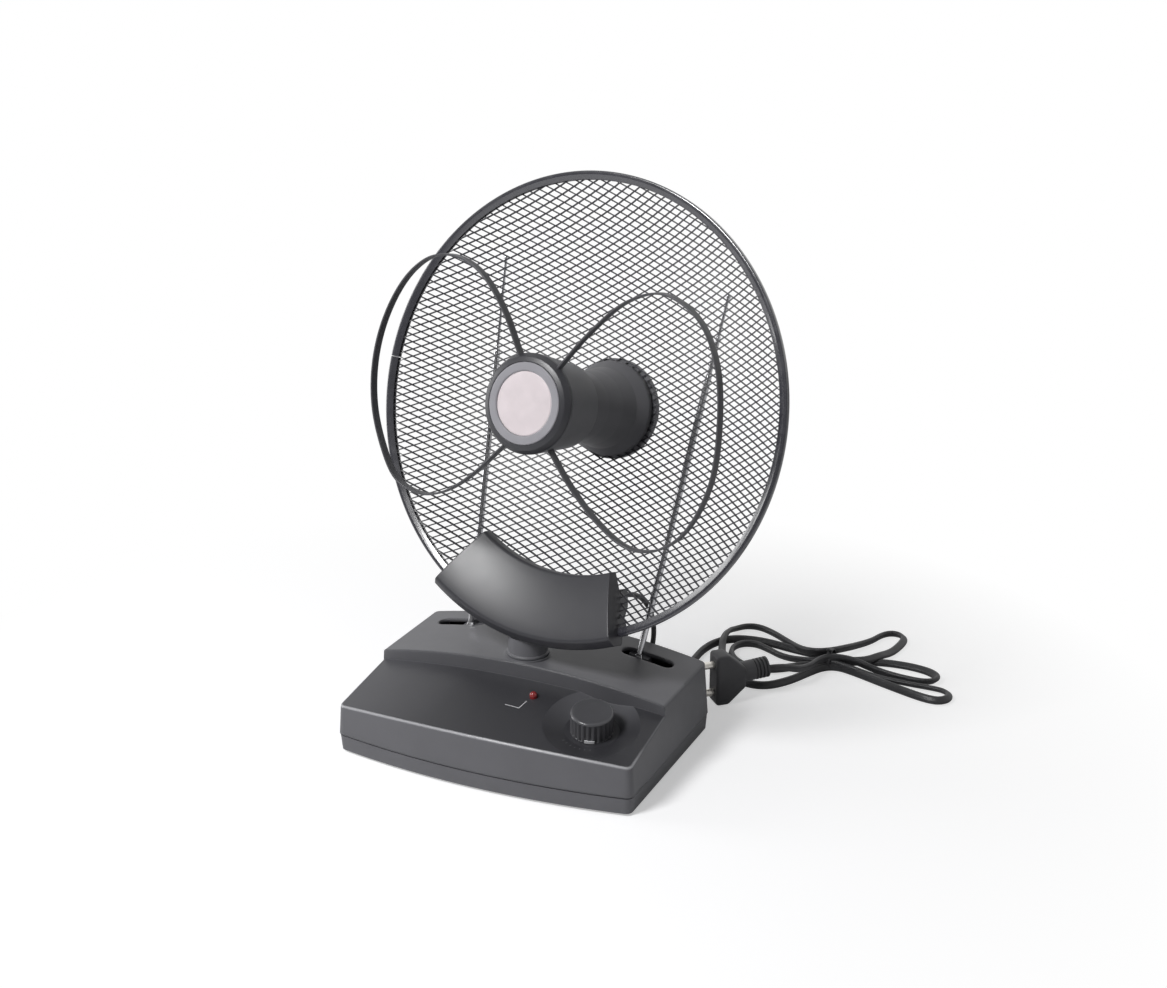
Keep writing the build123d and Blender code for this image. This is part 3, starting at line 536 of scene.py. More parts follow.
mains_route = [
    (0.0580, 0.0787, 0.0190), (0.0580, 0.0907, 0.0190), (0.0570, 0.1047, 0.0125), (0.0555, 0.1187, 0.0060),
    (0.0540, 0.1327, 0.0032),
    (0.0532, 0.1460, 0.0029), (0.0530, 0.1580, 0.0029), (0.0555, 0.1710, 0.0029), (0.0615, 0.1810, 0.0029),
    (0.0720, 0.1870, 0.0029), (0.0880, 0.1885, 0.0029), (0.1060, 0.1850, 0.0029), (0.1220, 0.1795, 0.0046),
    (0.1360, 0.1768, 0.0058), (0.1490, 0.1755, 0.0062), (0.1600, 0.1810, 0.0064), (0.1655, 0.1920, 0.0060),
    (0.1695, 0.2060, 0.0030), (0.1718, 0.2190, 0.0029), (0.1722, 0.2310, 0.0029), (0.1674, 0.2372, 0.0029),
    (0.1606, 0.2372, 0.0029), (0.1556, 0.2310, 0.0029), (0.1522, 0.2190, 0.0029), (0.1455, 0.2040, 0.0044),
    (0.1412, 0.1910, 0.0072), (0.1365, 0.1800, 0.0092), (0.1275, 0.1748, 0.0088), (0.1160, 0.1795, 0.0062),
    (0.1045, 0.1905, 0.0038), (0.0880, 0.2040, 0.0029), (0.0750, 0.2100, 0.0029),
    (0.0660, 0.2075, 0.0029), (0.0610, 0.1980, 0.0036), (0.0602, 0.1880, 0.0064), (0.0612, 0.1760, 0.0066),
    (0.0640, 0.1660, 0.0036), (0.0680, 0.1560, 0.0029), (0.0720, 0.1460, 0.0029), (0.0790, 0.1340, 0.0029),
    (0.0890, 0.1255, 0.0029), (0.0990, 0.1225, 0.0029), (0.1075, 0.1235, 0.0029), (0.1145, 0.1285, 0.0029),
    (0.1225, 0.1400, 0.0029), (0.1285, 0.1540, 0.0029), (0.1345, 0.1662, 0.0029),
    (0.1430, 0.1712, 0.0029), (0.1560, 0.1676, 0.0029), (0.1720, 0.1612, 0.0029), (0.1880, 0.1553, 0.0029),
    (0.2010, 0.1508, 0.0029), (0.2100, 0.1486, 0.0029), (0.2168, 0.1490, 0.0029), (0.2212, 0.1540, 0.0029),
    (0.2205, 0.1608, 0.0029), (0.2150, 0.1648, 0.0029), (0.2060, 0.1652, 0.0029), (0.1940, 0.1648, 0.0029),
    (0.1800, 0.1654, 0.0029), (0.1680, 0.1672, 0.0030),
    (0.1540, 0.1690, 0.0046), (0.1390, 0.1710, 0.0060),
    (0.1240, 0.1685, 0.0046), (0.1070, 0.1695, 0.0029), (0.0900, 0.1795, 0.0029), (0.0815, 0.1825, 0.0029),
    (0.0735, 0.1795, 0.0029), (0.0700, 0.1712, 0.0029), (0.0722, 0.1605, 0.0029), (0.0805, 0.1502, 0.0029),
    (0.0920, 0.1455, 0.0029), (0.1040, 0.1485, 0.0029), (0.1150, 0.1565, 0.0029), (0.1260, 0.1670, 0.0029),
    (0.1360, 0.1765, 0.0029), (0.1460, 0.1800, 0.0029), (0.1570, 0.1850, 0.0029), (0.1700, 0.1895, 0.0029),
    (0.1830, 0.1908, 0.0029), (0.1940, 0.1898, 0.0029), (0.2020, 0.1872, 0.0029), (0.2072, 0.1822, 0.0029),
    (0.2068, 0.1758, 0.0029), (0.2010, 0.1720, 0.0029), (0.1920, 0.1716, 0.0029), (0.1800, 0.1728, 0.0029),
    (0.1680, 0.1740, 0.0040), (0.1530, 0.1735, 0.0086),
    (0.1390, 0.1710, 0.0094),
    (0.1330, 0.1620, 0.0098), (0.1315, 0.1490, 0.0104), (0.1280, 0.1376, 0.0126), (0.1234, 0.1302, 0.0158),
    (0.1180, 0.1240, 0.0180), (0.1128, 0.1196, 0.0180),
]
core_radius = 1.65
core_offset = 1.05
cord_tilt = 52
cord_roll = 22


def twin_section():
    """Outline of a flat twin cord, two round cores side by side."""
    steps = 9
    outline = []
    for sign in (1, -1):
        for i in range(steps):
            angle = radians(-100 + 200 * i / (steps - 1)) + (0 if sign > 0 else pi)
            outline.append((sign * core_offset + core_radius * cos(angle), core_radius * sin(angle)))
    return outline


def cord_lean(share, along):
    """The flat cord lies part way over on its edge, and rolls a little along its length."""
    level = UP.cross(along)
    angle = radians(cord_tilt + cord_roll * sin(9 * pi * share))
    return level * cos(angle) + UP * sin(angle)


mains_line = cord_line("mains_line", mains_route)
mains_cord = piece(
    "mains_cord", sweep(mains_line, twin_section(), cord_lean), "base", "cord_rubber",
    ("mains_cord_run", "mains_cord_hank", "mains_cord_lead"),
)

feed_route = [
    (0.0500, 0.0240, 0.0945), (0.0512, 0.0350, 0.0910), (0.0512, 0.0475, 0.0862), (0.0515, 0.0590, 0.0790),
    (0.0530, 0.0670, 0.0690), (0.0540, 0.0705, 0.0580), (0.0540, 0.0705, 0.0475), (0.0530, 0.0670, 0.0375),
    (0.0512, 0.0595, 0.0305), (0.0500, 0.0510, 0.0265),
]
feed_line = cord_line("feed_line", feed_route)
feed_radius = 1.6
feed_cable = piece(
    "feed_lead", sweep(feed_line, circle(feed_radius, 20), sideways), None, "cord_rubber", ("feed_cable",)
)
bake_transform(feed_cable)

# Plug on its narrow edge, ribbed collar, pins, strain relief and the wire tie
plug_half = 16.9
plug_thick = 13.7
plug_shoulder = 8.5
plug_long = 20.5
plug_neck = 6.4
plug_place = at(85.3, 93.3, plug_half) @ turned(44, "Z")
plug_outline = [
    (0, -plug_half), (plug_shoulder, -plug_half), (plug_long, -plug_neck),
    (plug_long, plug_neck), (plug_shoulder, plug_half), (0, plug_half),
]
plug_outline = rounded(plug_outline, [2.5, 3.5, 3, 3, 3.5, 2.5], 4)
plug_body = moved(prism(plug_outline, -plug_thick / 2, plug_thick / 2, 1.8, 4), turned(90, "X"))
collar_outline = [(0, 18), (6.6, 18), (6.6, 27.0), (6.4, 28.0)]
for i in range(4):
    rib = 28.2 + 2.4 * i
    collar_outline += [(5.6, rib), (6.7, rib + 0.4), (6.7, rib + 1.5), (5.6, rib + 1.9)]
collar_outline += [(3.2, 38.2), (0, 38.2)]
collar = moved(lathe(collar_outline, 48), turned(86, "Y"))
plug = piece("plug_moulding", join(plug_body, collar), "base", "plug_plastic", ("plug_body",), plug_place)
pin_long = 19.0
pin_radius = 2.4
pin_spread = 9.5
pin_outline = [(0, -pin_long), (pin_radius, -pin_long), (pin_radius, 1), (0, 1)]
pin_outline = rounded(pin_outline, [0, 1.6, 0, 0])
pin_pair = []
for offset in (-pin_spread, pin_spread):
    turn = Matrix.Translation((0, 0, offset)) @ turned(90, "Y")
    pin_pair.append(moved(lathe(pin_outline, 40), turn))
pins = piece("plug_pin_pair", join(*pin_pair), "base", "pin_metal", ("plug_pins",), plug_place)
relief_outline = [(0, -0.5), (5.0, -0.5), (5.0, 2.0)]
for i in range(5):
    rib = 2.6 + 2.9 * i
    taper = 4.7 - 0.33 * i
    relief_outline += [(taper - 0.7, rib), (taper, rib + 0.4)]
    relief_outline += [(taper - 0.12, rib + 1.7), (taper - 0.8, rib + 2.1)]
relief_outline += [(2.9, 17.6), (2.6, 18.0), (0, 18.0)]
piece(
    "cord_relief_boot", lathe(relief_outline, 48), "base", "cord_rubber", ("cord_relief",),
    at(58, back_y, 19) @ turned(-90, "X"),
)
tie_x = 137.5
tie_y = 174.0
tie_z = 6.4
tie_half_width = 7.2
tie_half_height = 6.2
end_radius = 0.6
twist_radius = 0.8


def tie_wire():
    """Flat wire tie round the bundle, with its twisted ends on top."""
    ring = []
    for i in range(41):
        angle = 2 * pi * i / 40
        y = tie_y + tie_half_width * cos(angle)
        ring.append(Vector((tie_x, y, tie_z + tie_half_height * sin(angle))))
    flat = rounded([(-1.5, -0.4), (1.5, -0.4), (1.5, 0.4), (-1.5, 0.4)], 0.3, 3)
    turns = [sweep(ring, flat, sideways)]
    for start in (pi, 0):
        end = []
        for i in range(25):
            t = i / 24
            angle = 6 * pi * t + start
            x = tie_x + twist_radius * cos(angle)
            y = tie_y - 2 - 5 * t + twist_radius * sin(angle)
            end.append(Vector((x, y, 12.8 + 3.0 * t)))
        turns.append(sweep(end, circle(end_radius, 10), sideways))
    return join(*turns)


tie = piece("cord_wire_tie", tie_wire(), "base", "cord_rubber", ("cord_tie",))

# Dish: rolled rim and expanded metal mesh
rim_outline = rounded(
    [
        (rim_inner + 3.0, rim_front), (rim_inner, rim_middle + 1.1),
        (rim_inner, rim_middle + 0.7), (rim_radius - 1.6, rim_middle + 0.7),
        (rim_radius - 1.6, rim_middle - 0.7), (rim_inner, rim_middle - 0.7), (rim_inner, rim_back),
        (rim_radius, rim_back), (rim_radius, rim_front),
    ],
    [0.8, 0.15, 0.15, 0, 0, 0.4, 1.2, 2.2, 1.6],
)
piece(
    "rolled_rim", lathe(rim_outline, 300, 180.1, 359.8), "head", "rim_metal", ("reflector_rim",), head_place
)

mesh_long = 9.15
mesh_short = 4.42
mesh_turn = radians(9)
mesh_strand = 0.75
mesh_thick = 0.7
mesh_twist = 0.28
mesh_reach = 134.6


def expanded_metal():
    """Slit and drawn sheet: diamond cells on the bowl, each strand turned a little out of the sheet."""
    bm = bmesh.new()
    half_long = mesh_long / 2
    half_short = mesh_short / 2
    middle = half_long * half_short / hypot(half_long, half_short)
    shrink = (middle - mesh_strand / 2) / middle
    knots = {}

    def on_bowl(across, along, lift):
        x = across * cos(mesh_turn) - along * sin(mesh_turn)
        y = across * sin(mesh_turn) + along * cos(mesh_turn)
        radius = hypot(x, y)
        if radius > mesh_reach:
            x *= mesh_reach / radius
            y *= mesh_reach / radius
            radius = mesh_reach
        level = bowl_level(radius) if radius < bowl_radius else rim_middle
        return (x, y, level + lift)

    def knot(column, row):
        """Pair of points, front and back, where strands meet."""
        if (column, row) not in knots:
            x = column * half_long
            y = row * half_short
            knots[column, row] = (
                bm.verts.new(on_bowl(x, y, mesh_thick / 2)),
                bm.verts.new(on_bowl(x, y, -mesh_thick / 2)),
            )
        return knots[column, row]

    columns = int(bowl_radius / half_long) + 2
    rows = int(bowl_radius / half_short) + 2
    for row in range(-rows, rows + 1):
        for column in range(-columns, columns + 1):
            x = column * half_long
            y = row * half_short
            if (row + column) % 2 or hypot(x, y) > mesh_reach - 1.0:
                continue
            corners = [knot(column + dx, row + dy) for dx, dy in ((1, 0), (0, 1), (-1, 0), (0, -1))]
            inner = []
            for dx, dy, lift in ((1, 0, 0), (0, 1, mesh_twist), (-1, 0, 0), (0, -1, -mesh_twist)):
                px = x + dx * half_long * shrink
                py = y + dy * half_short * shrink
                inner.append(
                    (
                        bm.verts.new(on_bowl(px, py, mesh_thick / 2 + lift)),
                        bm.verts.new(on_bowl(px, py, -mesh_thick / 2 + lift)),
                    )
                )
            for i in range(4):
                k = (i + 1) % 4
                bm.faces.new((corners[i][0], corners[k][0], inner[k][0], inner[i][0]))
                bm.faces.new((inner[i][1], inner[k][1], corners[k][1], corners[i][1]))
                bm.faces.new((inner[i][0], inner[k][0], inner[k][1], inner[i][1]))
    bmesh.ops.dissolve_degenerate(bm, edges=bm.edges, dist=0.0005)
    return bm


piece("expanded_mesh", expanded_metal(), "head", "mesh_metal", ("reflector_mesh",), head_place, sharp=50)

# Bracket: front and rear halves round the lower rim
half_angle = 27.3
rear_half_angle = 25.2
bracket_inner = rim_radius - 37.9
rear_inner = rim_radius - 27.7
bracket_outer = rim_radius + 5.0
rim_clear = rim_radius + 0.1
face_low = Vector((137.4, 11.8))
face_middle = Vector((118.6, 6.6))
face_high = Vector((bracket_inner, -4.6))
face_steps = [0, 0.16, *(0.22 + 0.04 * i for i in range(15)), 0.84, 1]
front_face = [
    tuple(face_low * (1 - t) ** 2 + face_middle * 2 * t * (1 - t) + face_high * t**2) for t in face_steps
]
front_outline = rounded(
    [
        (bracket_inner, -11.5), (rim_clear, -11.5), (rim_clear, -1.8), (bracket_outer, -1.8),
        (bracket_outer, 7.6), *front_face,
    ],
    [0, 0, 0, 0.6, 3.4, 3.4, *[0] * (len(front_face) - 2), 2.8],
)
bracket_front = lathe(front_outline, 72, -90 - half_angle, 2 * half_angle)
soften(bracket_front, 2.6, 4, 60)
piece(
    "bracket_front_half", bracket_front, "head", "housing_plastic", ("bracket_front",), head_place,
    bracket_black,
)
back_gap = -0.6
rear_floor = bowl_level(rear_inner, back_gap)
rear_outline = rounded(
    [
        (rear_inner, rear_floor), (bowl_radius, -5.0), (rim_clear, -5.0), (rim_clear, -1.85),
        (bracket_outer, -1.85), (bracket_outer, -11.1), (131.2, -15.1), (120.0, rear_floor - 8.0),
        (rear_inner, rear_floor - 11.0),
    ],
    [0, 0, 0, 0.5, 2.0, 3.0, 6, 2.4, 0],
)
bracket_rear = lathe(rear_outline, 64, -90 - rear_half_angle, 2 * rear_half_angle)
soften(bracket_rear, 1.2, 3, 60)
piece(
    "bracket_rear_half", bracket_rear, "head", "housing_plastic", ("bracket_rear",), head_place, bracket_black
)

# Feed boom, head and the cup behind the mesh
foot_radius = 28.6
foot_low = bowl_level(foot_radius, 0.55)
foot_high = foot_low + 4.0
boom_outline = rounded(
    [
        (0, -44), (foot_radius, foot_low), (foot_radius, foot_high), (27.0, foot_high + 3.0), (24.4, -32.0),
        (22.2, -20.0), (20.9, -6.0), (20.5, 12.0), (0, 12.0),
    ],
    [0, 0.5, 1.2, 4, 6, 8, 8, 0, 0],
)
piece("feed_trunk", lathe(boom_outline, 128), "head", "head_plastic", ("feed_boom",), head_place)
body_outline = rounded(
    [(0, 11.0), (22.7, 11.0), (25.2, 14.0), (28.7, 47.0), (28.3, 47.5), (0, 47.5)], [0, 1.5, 1.5, 0.3, 0.3, 0]
)
piece("head_barrel", lathe(body_outline, 160), "head", "head_plastic", ("head_body",), head_place)
cap_outline = rounded(
    [
        (0, 47.6), (28.2, 47.6), (28.7, 48.0), (28.7, 49.3), (26.6, 52.3), (23.6, 53.2), (23.2, 52.6),
        (0, 52.6),
    ],
    [0, 0.3, 0.4, 2.4, 1.4, 0.4, 0.3, 0],
)
cap = lathe(cap_outline, 160)
piece("head_front_cap", cap, "head", "head_plastic", ("head_cap",), head_place, bracket_black)
ring_outline = rounded(
    [(18.3, 52.0), (23.3, 52.0), (23.3, 53.1), (22.8, 53.5), (18.9, 53.5), (18.3, 53.0)], 0.25, 3
)
piece("head_ring", lathe(ring_outline, 160), "head", "head_plastic", (), head_place, ring_grey)
disc_outline = rounded(
    [(0, 51.7), (18.25, 51.7), (18.25, 52.6), (17.6, 52.9), (0, 52.95)], [0, 0.1, 0.2, 0.3, 0]
)
disc = lathe(disc_outline, 128)
piece("head_spun_disc", disc, "head", "front_disc", ("head_disc",), head_place, own_axes=True)
cup_radius = 30.5
cup_edge = bowl_level(cup_radius, back_gap)
cup_back = bowl_level(0) - 10.0
cup_outline = rounded(
    [
        (0, bowl_level(0, back_gap)), (cup_radius, cup_edge), (cup_radius, cup_edge - 4.0),
        (26.5, cup_back), (8.0, cup_back), (7.0, cup_back + 1.0), (0, cup_back + 1.0),
    ],
    [0, 0.4, 2.5, 2.5, 0.3, 0.3, 0],
)
piece("mesh_rear_cup", lathe(cup_outline, 128), "head", "head_plastic", ("rear_cup",), head_place)


# Ribbon loops
def through(points):
    """Smooth open line through points, with straight first and last spans kept in line."""
    per_span = 14
    line = []
    for i in range(len(points) - 1):
        p0 = points[max(i - 1, 0)]
        p1 = points[i]
        p2 = points[i + 1]
        p3 = points[min(i + 2, len(points) - 1)]
        span = (p2 - p1).length
        m1 = (p2 - p0) * (span / ((p1 - p0).length + span)) if i > 0 else p2 - p1
        m2 = (p3 - p1) * (span / ((p3 - p2).length + span)) if i < len(points) - 2 else p2 - p1
        for k in range(per_span):
            t = k / per_span
            line.append(
                p1 * (2 * t**3 - 3 * t**2 + 1) + m1 * (t**3 - 2 * t**2 + t)
                + p2 * (-2 * t**3 + 3 * t**2) + m2 * (t**3 - t**2)
            )
    line.append(points[-1])
    return line


loop_bends = {
    "right": [
        (10.5, 15.0), (19.0, 25.8), (35, 45), (56.5, 64.5), (79, 71.6), (101.5, 61), (114.5, 39),
        (119.5, 8), (118, -25), (106.5, -52.5), (90, -67), (71, -69.6), (51, -59.8), (31, -42.7),
        (15.8, -25), (9.5, -16.6),
    ],
    "left": [
        (-7, 19.5), (-12.6, 27.8), (-27, 49.4), (-45, 66.4), (-63.5, 72.4), (-82, 68.4), (-98, 53),
        (-109.5, 28), (-113.8, 1), (-110.5, -26), (-99.5, -50.5), (-87, -65.5), (-69, -69.8), (-52, -64.6),
        (-34, -50.2), (-16.2, -30), (-8, -20.5),
    ],
}
strip_half_width = 2.75
strip_half_thick = 0.6
strip_corners = [
    (-strip_half_width, -strip_half_thick), (strip_half_width, -strip_half_thick),
    (strip_half_width, strip_half_thick), (-strip_half_width, strip_half_thick),
]
strip_section = rounded(strip_corners, 0.45, 4)
loop_level = 45
loop_lean = 7
for side, loop_turn in (("right", 4.5), ("left", 0.5)):
    points = [Vector((x, y, 0)) for x, y in loop_bends[side]]
    place = head_place @ turned(loop_turn, "Z") @ at(0, 0, loop_level) @ turned(loop_lean, "X")
    strip = sweep(through(points), strip_section, upwards)
    piece("ribbon_" + side, strip, "head", "loop_metal", ("loop_" + side,), place)

# Rods: an eye, two plated tubes with rolled ends and a capped tip each
rod_lean = radians(22)
rod_pivot = (57.01, 35.129, 42.233)
outer_start = 10.0
outer_top = 184.0
middle_long = 160.0
tip_long = 158.0
outer_radius = 2.0
middle_radius = 1.5
tip_radius = 1.0
cap_radius = 1.5
cap_long = 2.5
tube_wall = 0.44
eye_half = 1.2
for side, sign, out_angle, middle_out, tip_out in (("right", 1, 5.45, 24, 23), ("left", -1, 3.8, 2, 55)):
    out = radians(out_angle) * sign
    along = Vector((sin(out), cos(out) * sin(rod_lean), cos(out) * cos(rod_lean)))
    across = Vector((cos(out), -sin(out) * sin(rod_lean), -sin(out) * cos(rod_lean)))
    turn = Matrix((across, along.cross(across), along)).transposed().to_4x4()
    rod_place = at(sign * rod_pivot[0], rod_pivot[1], rod_pivot[2]) @ turn
    middle_top = outer_top + middle_out
    tip_top = middle_top + tip_out
    body = "rod_" + side + "_"
    tubes = (
        ("outer", outer_start, outer_top, outer_radius),
        ("middle", middle_top - middle_long, middle_top, middle_radius),
    )
    for stage, low, high, radius in tubes:
        bore = radius - tube_wall
        outline = rounded(
            [
                (bore, low), (radius, low), (radius, high - 1.6), (radius - 0.1, high - 1.2),
                (radius - 0.1, high - 0.7), (bore + 0.1, high), (bore, high - 0.3),
            ],
            [0, 0.3, 0.1, 0.1, 0.3, 0.1, 0],
            3,
        )
        name = "rod_" + stage + "_" + side
        piece(name + "_tube", lathe(outline, 40), body + stage, "rod_metal", (name,), rod_place)
    eye = lathe([(1.55, -eye_half), (3.4, -eye_half), (3.4, eye_half), (1.55, eye_half)], 40)
    blade_outline = [(-2.5, 2.3), (2.5, 2.3), (2.5, 8.0), (1.4, 10.8), (-1.4, 10.8), (-2.5, 8.0)]
    blade = prism(blade_outline, -eye_half, eye_half, 0.3)
    eye = moved(join(eye, blade), turned(90, "X"))
    piece("rod_eye_" + side, eye, body + "outer", "rod_metal", ("rod_tongue_" + side,), rod_place)
    tip_outline = rounded(
        [
            (0, tip_top - tip_long), (tip_radius, tip_top - tip_long), (tip_radius, tip_top),
            (cap_radius, tip_top + 0.1), (cap_radius, tip_top + cap_long), (0, tip_top + cap_long),
        ],
        [0, 0.3, 0.1, 0.2, 0.7, 0],
        4,
    )
    tip = lathe(tip_outline, 40)
    piece("rod_tip_cap_" + side, tip, body + "tip", "rod_metal", ("rod_tip_" + side,), rod_place)


# Gain knob: fluted skirt, slightly dished top, white index
knob_radius = 12.6
flutes = 24
per_flute = 10
flute_depth = 0.75


def fluted_knob():
    """Skirt whose ribs die out at its foot and top."""
    bm = bmesh.new()
    steps = flutes * per_flute
    rings = []

    def add_ring(radii, level):
        angles = [2 * pi * i / steps for i in range(steps)]
        rings.append([bm.verts.new((r * cos(a), r * sin(a), level)) for r, a in zip(radii, angles)])

    for level, depth in ((-4.6, 0.0), (-4.4, 1.0), (6.4, 1.0), (7.3, 0.4), (7.6, 0.0)):
        waves = [0.5 + 0.5 * cos(2 * pi * i / per_flute) for i in range(steps)]
        add_ring([knob_radius - flute_depth * depth * (1 - wave**0.6) for wave in waves], level)
    for inset, level in ((0.1, 8.0), (0.7, 8.7), (1.4, 8.9), (2.4, 8.75), (knob_radius - 0.001, 8.7)):
        add_ring([knob_radius - inset] * steps, level)
    for a, b in zip(rings, rings[1:]):
        for i in range(steps):
            k = (i + 1) % steps
            bm.faces.new((a[i], a[k], b[k], b[i]))
    bm.faces.new(list(reversed(rings[0])))
    bmesh.ops.remove_doubles(bm, verts=bm.verts, dist=0.01)
    return bm


knob_place = panel_place(59.4, -33.2)
piece("fluted_knob", fluted_knob(), "knob", "knob_plastic", ("gain_knob",), knob_place)
mark = lathe([(12.3, -4.5), (12.95, -4.5), (12.95, -2.9), (12.3, -2.9)], 12, -85, 26)
piece("knob_index", mark, "knob", "knob_plastic", (), knob_place, ink_white)


# Dial ticks in the knob's recess, and the printed line to the lamp
ink_lift = 0.05


def printed(points, width):
    """Thin ink strip along points of the panel."""
    bm = bmesh.new()
    rows = []
    for i, point in enumerate(points):
        ahead = Vector(points[min(i + 1, len(points) - 1)]) - Vector(points[max(i - 1, 0)])
        normal = Vector((-ahead.y, ahead.x)).normalized() * width / 2
        row = []
        for sign in (-1, 1):
            spot = Vector(point) + normal * sign
            row.append(bm.verts.new((spot.x, spot.y, panel_level(spot.x, spot.y) + ink_lift)))
        rows.append(row)
    for a, b in zip(rows, rows[1:]):
        bm.faces.new((a[0], b[0], b[1], a[1]))
    return bm


recess_radius = 30.0
recess_floor = 16.0
recess_depth = 5.0


def recess_level(radius):
    """Level of the recess under the panel, from the knob's axis."""
    return -recess_depth * min(1.0, (recess_radius - radius) / (recess_radius - recess_floor))


def dial_ticks(angles, inner, outer, width):
    """Short strokes that point at the knob."""
    bm = bmesh.new()
    for angle in angles:
        along = Vector((cos(radians(angle)), sin(radians(angle))))
        side = Vector((-along.y, along.x)) * width / 2
        corners = []
        for radius, sign in ((inner, -1), (outer, -1), (outer, 1), (inner, 1)):
            spot = along * radius + side * sign
            corners.append(bm.verts.new((spot.x, spot.y, recess_level(radius) + ink_lift)))
        bm.faces.new(corners)
    return bm


ticks = dial_ticks([-122 + 9 * i for i in range(7)], 18.6, 20.2, 0.4)
piece("dial_ticks", ticks, "base", "housing_plastic", (), knob_place, ink_grey)
leader = printed([(4.9, -36.2), (8, -36.3), (11, -36.45), (14.2, -36.6)], 0.5)
leader = join(leader, printed([(14.2, -36.6), (14.9, -33.0), (15.6, -29.3)], 0.5))
piece("lamp_leader", leader, "base", "housing_plastic", (), None, ink_white)

# Swivel neck with its collar
neck_low = deck_top + 0.9
neck_high = neck_low + 12.5
neck_radius = 12.0
collar_radius = 12.8
neck_outline = rounded(
    [
        (0, neck_low), (collar_radius, neck_low), (collar_radius, neck_low + 1.4),
        (neck_radius, neck_low + 1.9), (neck_radius, neck_high), (0, neck_high),
    ],
    [0, 0.4, 0.5, 0.4, 0.3, 0],
)
piece("neck_turned", lathe(neck_outline, 96), "head", "housing_plastic", ("swivel_neck",), at(0, neck_y, 0))


# Upper housing: dark panel, painted light at its left, painted shade on the riser, softened edges, painted
# highlight on the lip
def blended(tree, share, first, second):
    """Mix of a linked colour and a fixed one."""
    mix = add(tree, "ShaderNodeMix", {7: (*second, 1)}, data_type="RGBA")
    tree.links.new(share, mix.inputs["Factor"])
    tree.links.new(first, mix.inputs[6])
    return mix.outputs[2]


ridge_half_width = half_width + 5
riser_middle = (riser_foot_z + panel_rear_crown + deck_z + deck_crown) / 2
riser_fall = (panel_rear_crown + deck_crown) / 2 * (ridge_half_width / half_width) ** 2
edge_radius = 2.2
lip_highlight_gloss = 0.17


def shell_finish(name, deck_colour, panel_and_riser_shade_colour, lip_highlight_colour, roughness):
    """Housing plastic: dark panel, painted light at its left, painted shade on the riser, painted highlight
    on the lip.
    """
    material = surface(name, deck_colour, roughness, tone=0.03, swing=0.01, strength=0.3)
    tree = material.node_tree
    shader = tree.nodes["Principled BSDF"]
    place = add(tree, "ShaderNodeTexCoord")
    facing = add(tree, "ShaderNodeNewGeometry")
    edge = add(tree, "ShaderNodeBevel", {"Radius": edge_radius * MM}, samples=6)
    spot = axes(tree, place.outputs["Object"])
    tilt = axes(tree, facing.outputs["Normal"])
    soft_tilt = axes(tree, edge.outputs["Normal"])
    # How far a point lies ahead of the bowed ridge
    across = scaled(tree, spot["X"], 1 / (ridge_half_width * MM), 0.0)
    square = combined(tree, "MULTIPLY", across, across)
    ridge = scaled(tree, square, ridge_bow * MM, (ridge_y - ridge_bow) * MM)
    ahead = combined(tree, "SUBTRACT", ridge, spot["Y"])
    # Dark panel, painted shade on the riser, and painted light making the panel paler towards the left
    level = spread(tree, tilt["Z"], 0.0, 1.0, 0.80, 0.94)
    near_ridge = spread(tree, ahead, 1.0, 0.0, 0.004, 0.005)
    upright = spread(tree, tilt["Y"], 1.0, 0.0, -0.6, -0.3)
    riser = combined(tree, "MULTIPLY", near_ridge, upright)
    either = combined(tree, "MAXIMUM", level, riser)
    front = spread(tree, ahead, 0.0, 1.0, -0.0004, 0.0006)
    dark = combined(tree, "MULTIPLY", either, front)
    fade = spread(tree, spot["X"], 0.55, 1.0, -0.085, -0.030)
    dark = combined(tree, "MULTIPLY", dark, fade)
    painted = blended(tree, dark, shader.inputs["Base Color"].links[0].from_socket, panel_and_riser_shade_colour)
    # Rounded normals on the ridge's upper edge and the lip alone
    middle = scaled(tree, square, -riser_fall * MM, riser_middle * MM)
    over = combined(tree, "SUBTRACT", spot["Z"], middle)
    upper = spread(tree, over, 0.0, 1.0, -0.0005, 0.0005)
    lip = spread(tree, ahead, 0.0, 1.0, 0.03, 0.04)
    bent = add(tree, "ShaderNodeMix", data_type="VECTOR")
    tree.links.new(combined(tree, "MAXIMUM", upper, lip), bent.inputs["Factor"])
    tree.links.new(facing.outputs["Normal"], bent.inputs[4])
    tree.links.new(edge.outputs["Normal"], bent.inputs[5])
    bump = shader.inputs["Normal"].links[0].from_node
    tree.links.new(bent.outputs[1], bump.inputs["Normal"])
    # Pale painted highlight along the lip, with lower roughness there
    above = spread(tree, soft_tilt["Z"], 0.0, 1.0, 0.25, 0.45)
    below = spread(tree, soft_tilt["Z"], 1.0, 0.0, 0.80, 0.92)
    edges = combined(tree, "MULTIPLY", above, below)
    lip_highlight_share = combined(tree, "MULTIPLY", edges, spread(tree, ahead, 0.0, 0.85, 0.030, 0.045))
    lip_highlighted = blended(tree, lip_highlight_share, painted, lip_highlight_colour)
    tree.links.new(lip_highlighted, shader.inputs["Base Color"])
    lip_highlight_roughness = add(tree, "ShaderNodeMath", {1: -lip_highlight_gloss}, operation="MULTIPLY_ADD")
    tree.links.new(lip_highlight_share, lip_highlight_roughness.inputs[0])
    tree.links.new(shader.inputs["Roughness"].links[0].from_socket, lip_highlight_roughness.inputs[2])
    tree.links.new(lip_highlight_roughness.outputs["Value"], shader.inputs["Roughness"])
    return material


# Dark grey of the panel, also used as painted shade on the riser
panel_and_riser_shade_grey = (0.036, 0.036, 0.041)
# Pale grey of the painted highlight along the lip
lip_highlight_grey = (0.50, 0.50, 0.52)
shell_plastic = shell_finish("shell_plastic", housing_grey, panel_and_riser_shade_grey, lip_highlight_grey, 0.40)

# Materials on the solids that stay
for name, node in nodes.items():
    node.data.materials.clear()
    node.data.materials.append(shell_plastic if name == "base_top_shell" else finishes[slot_of[name]])


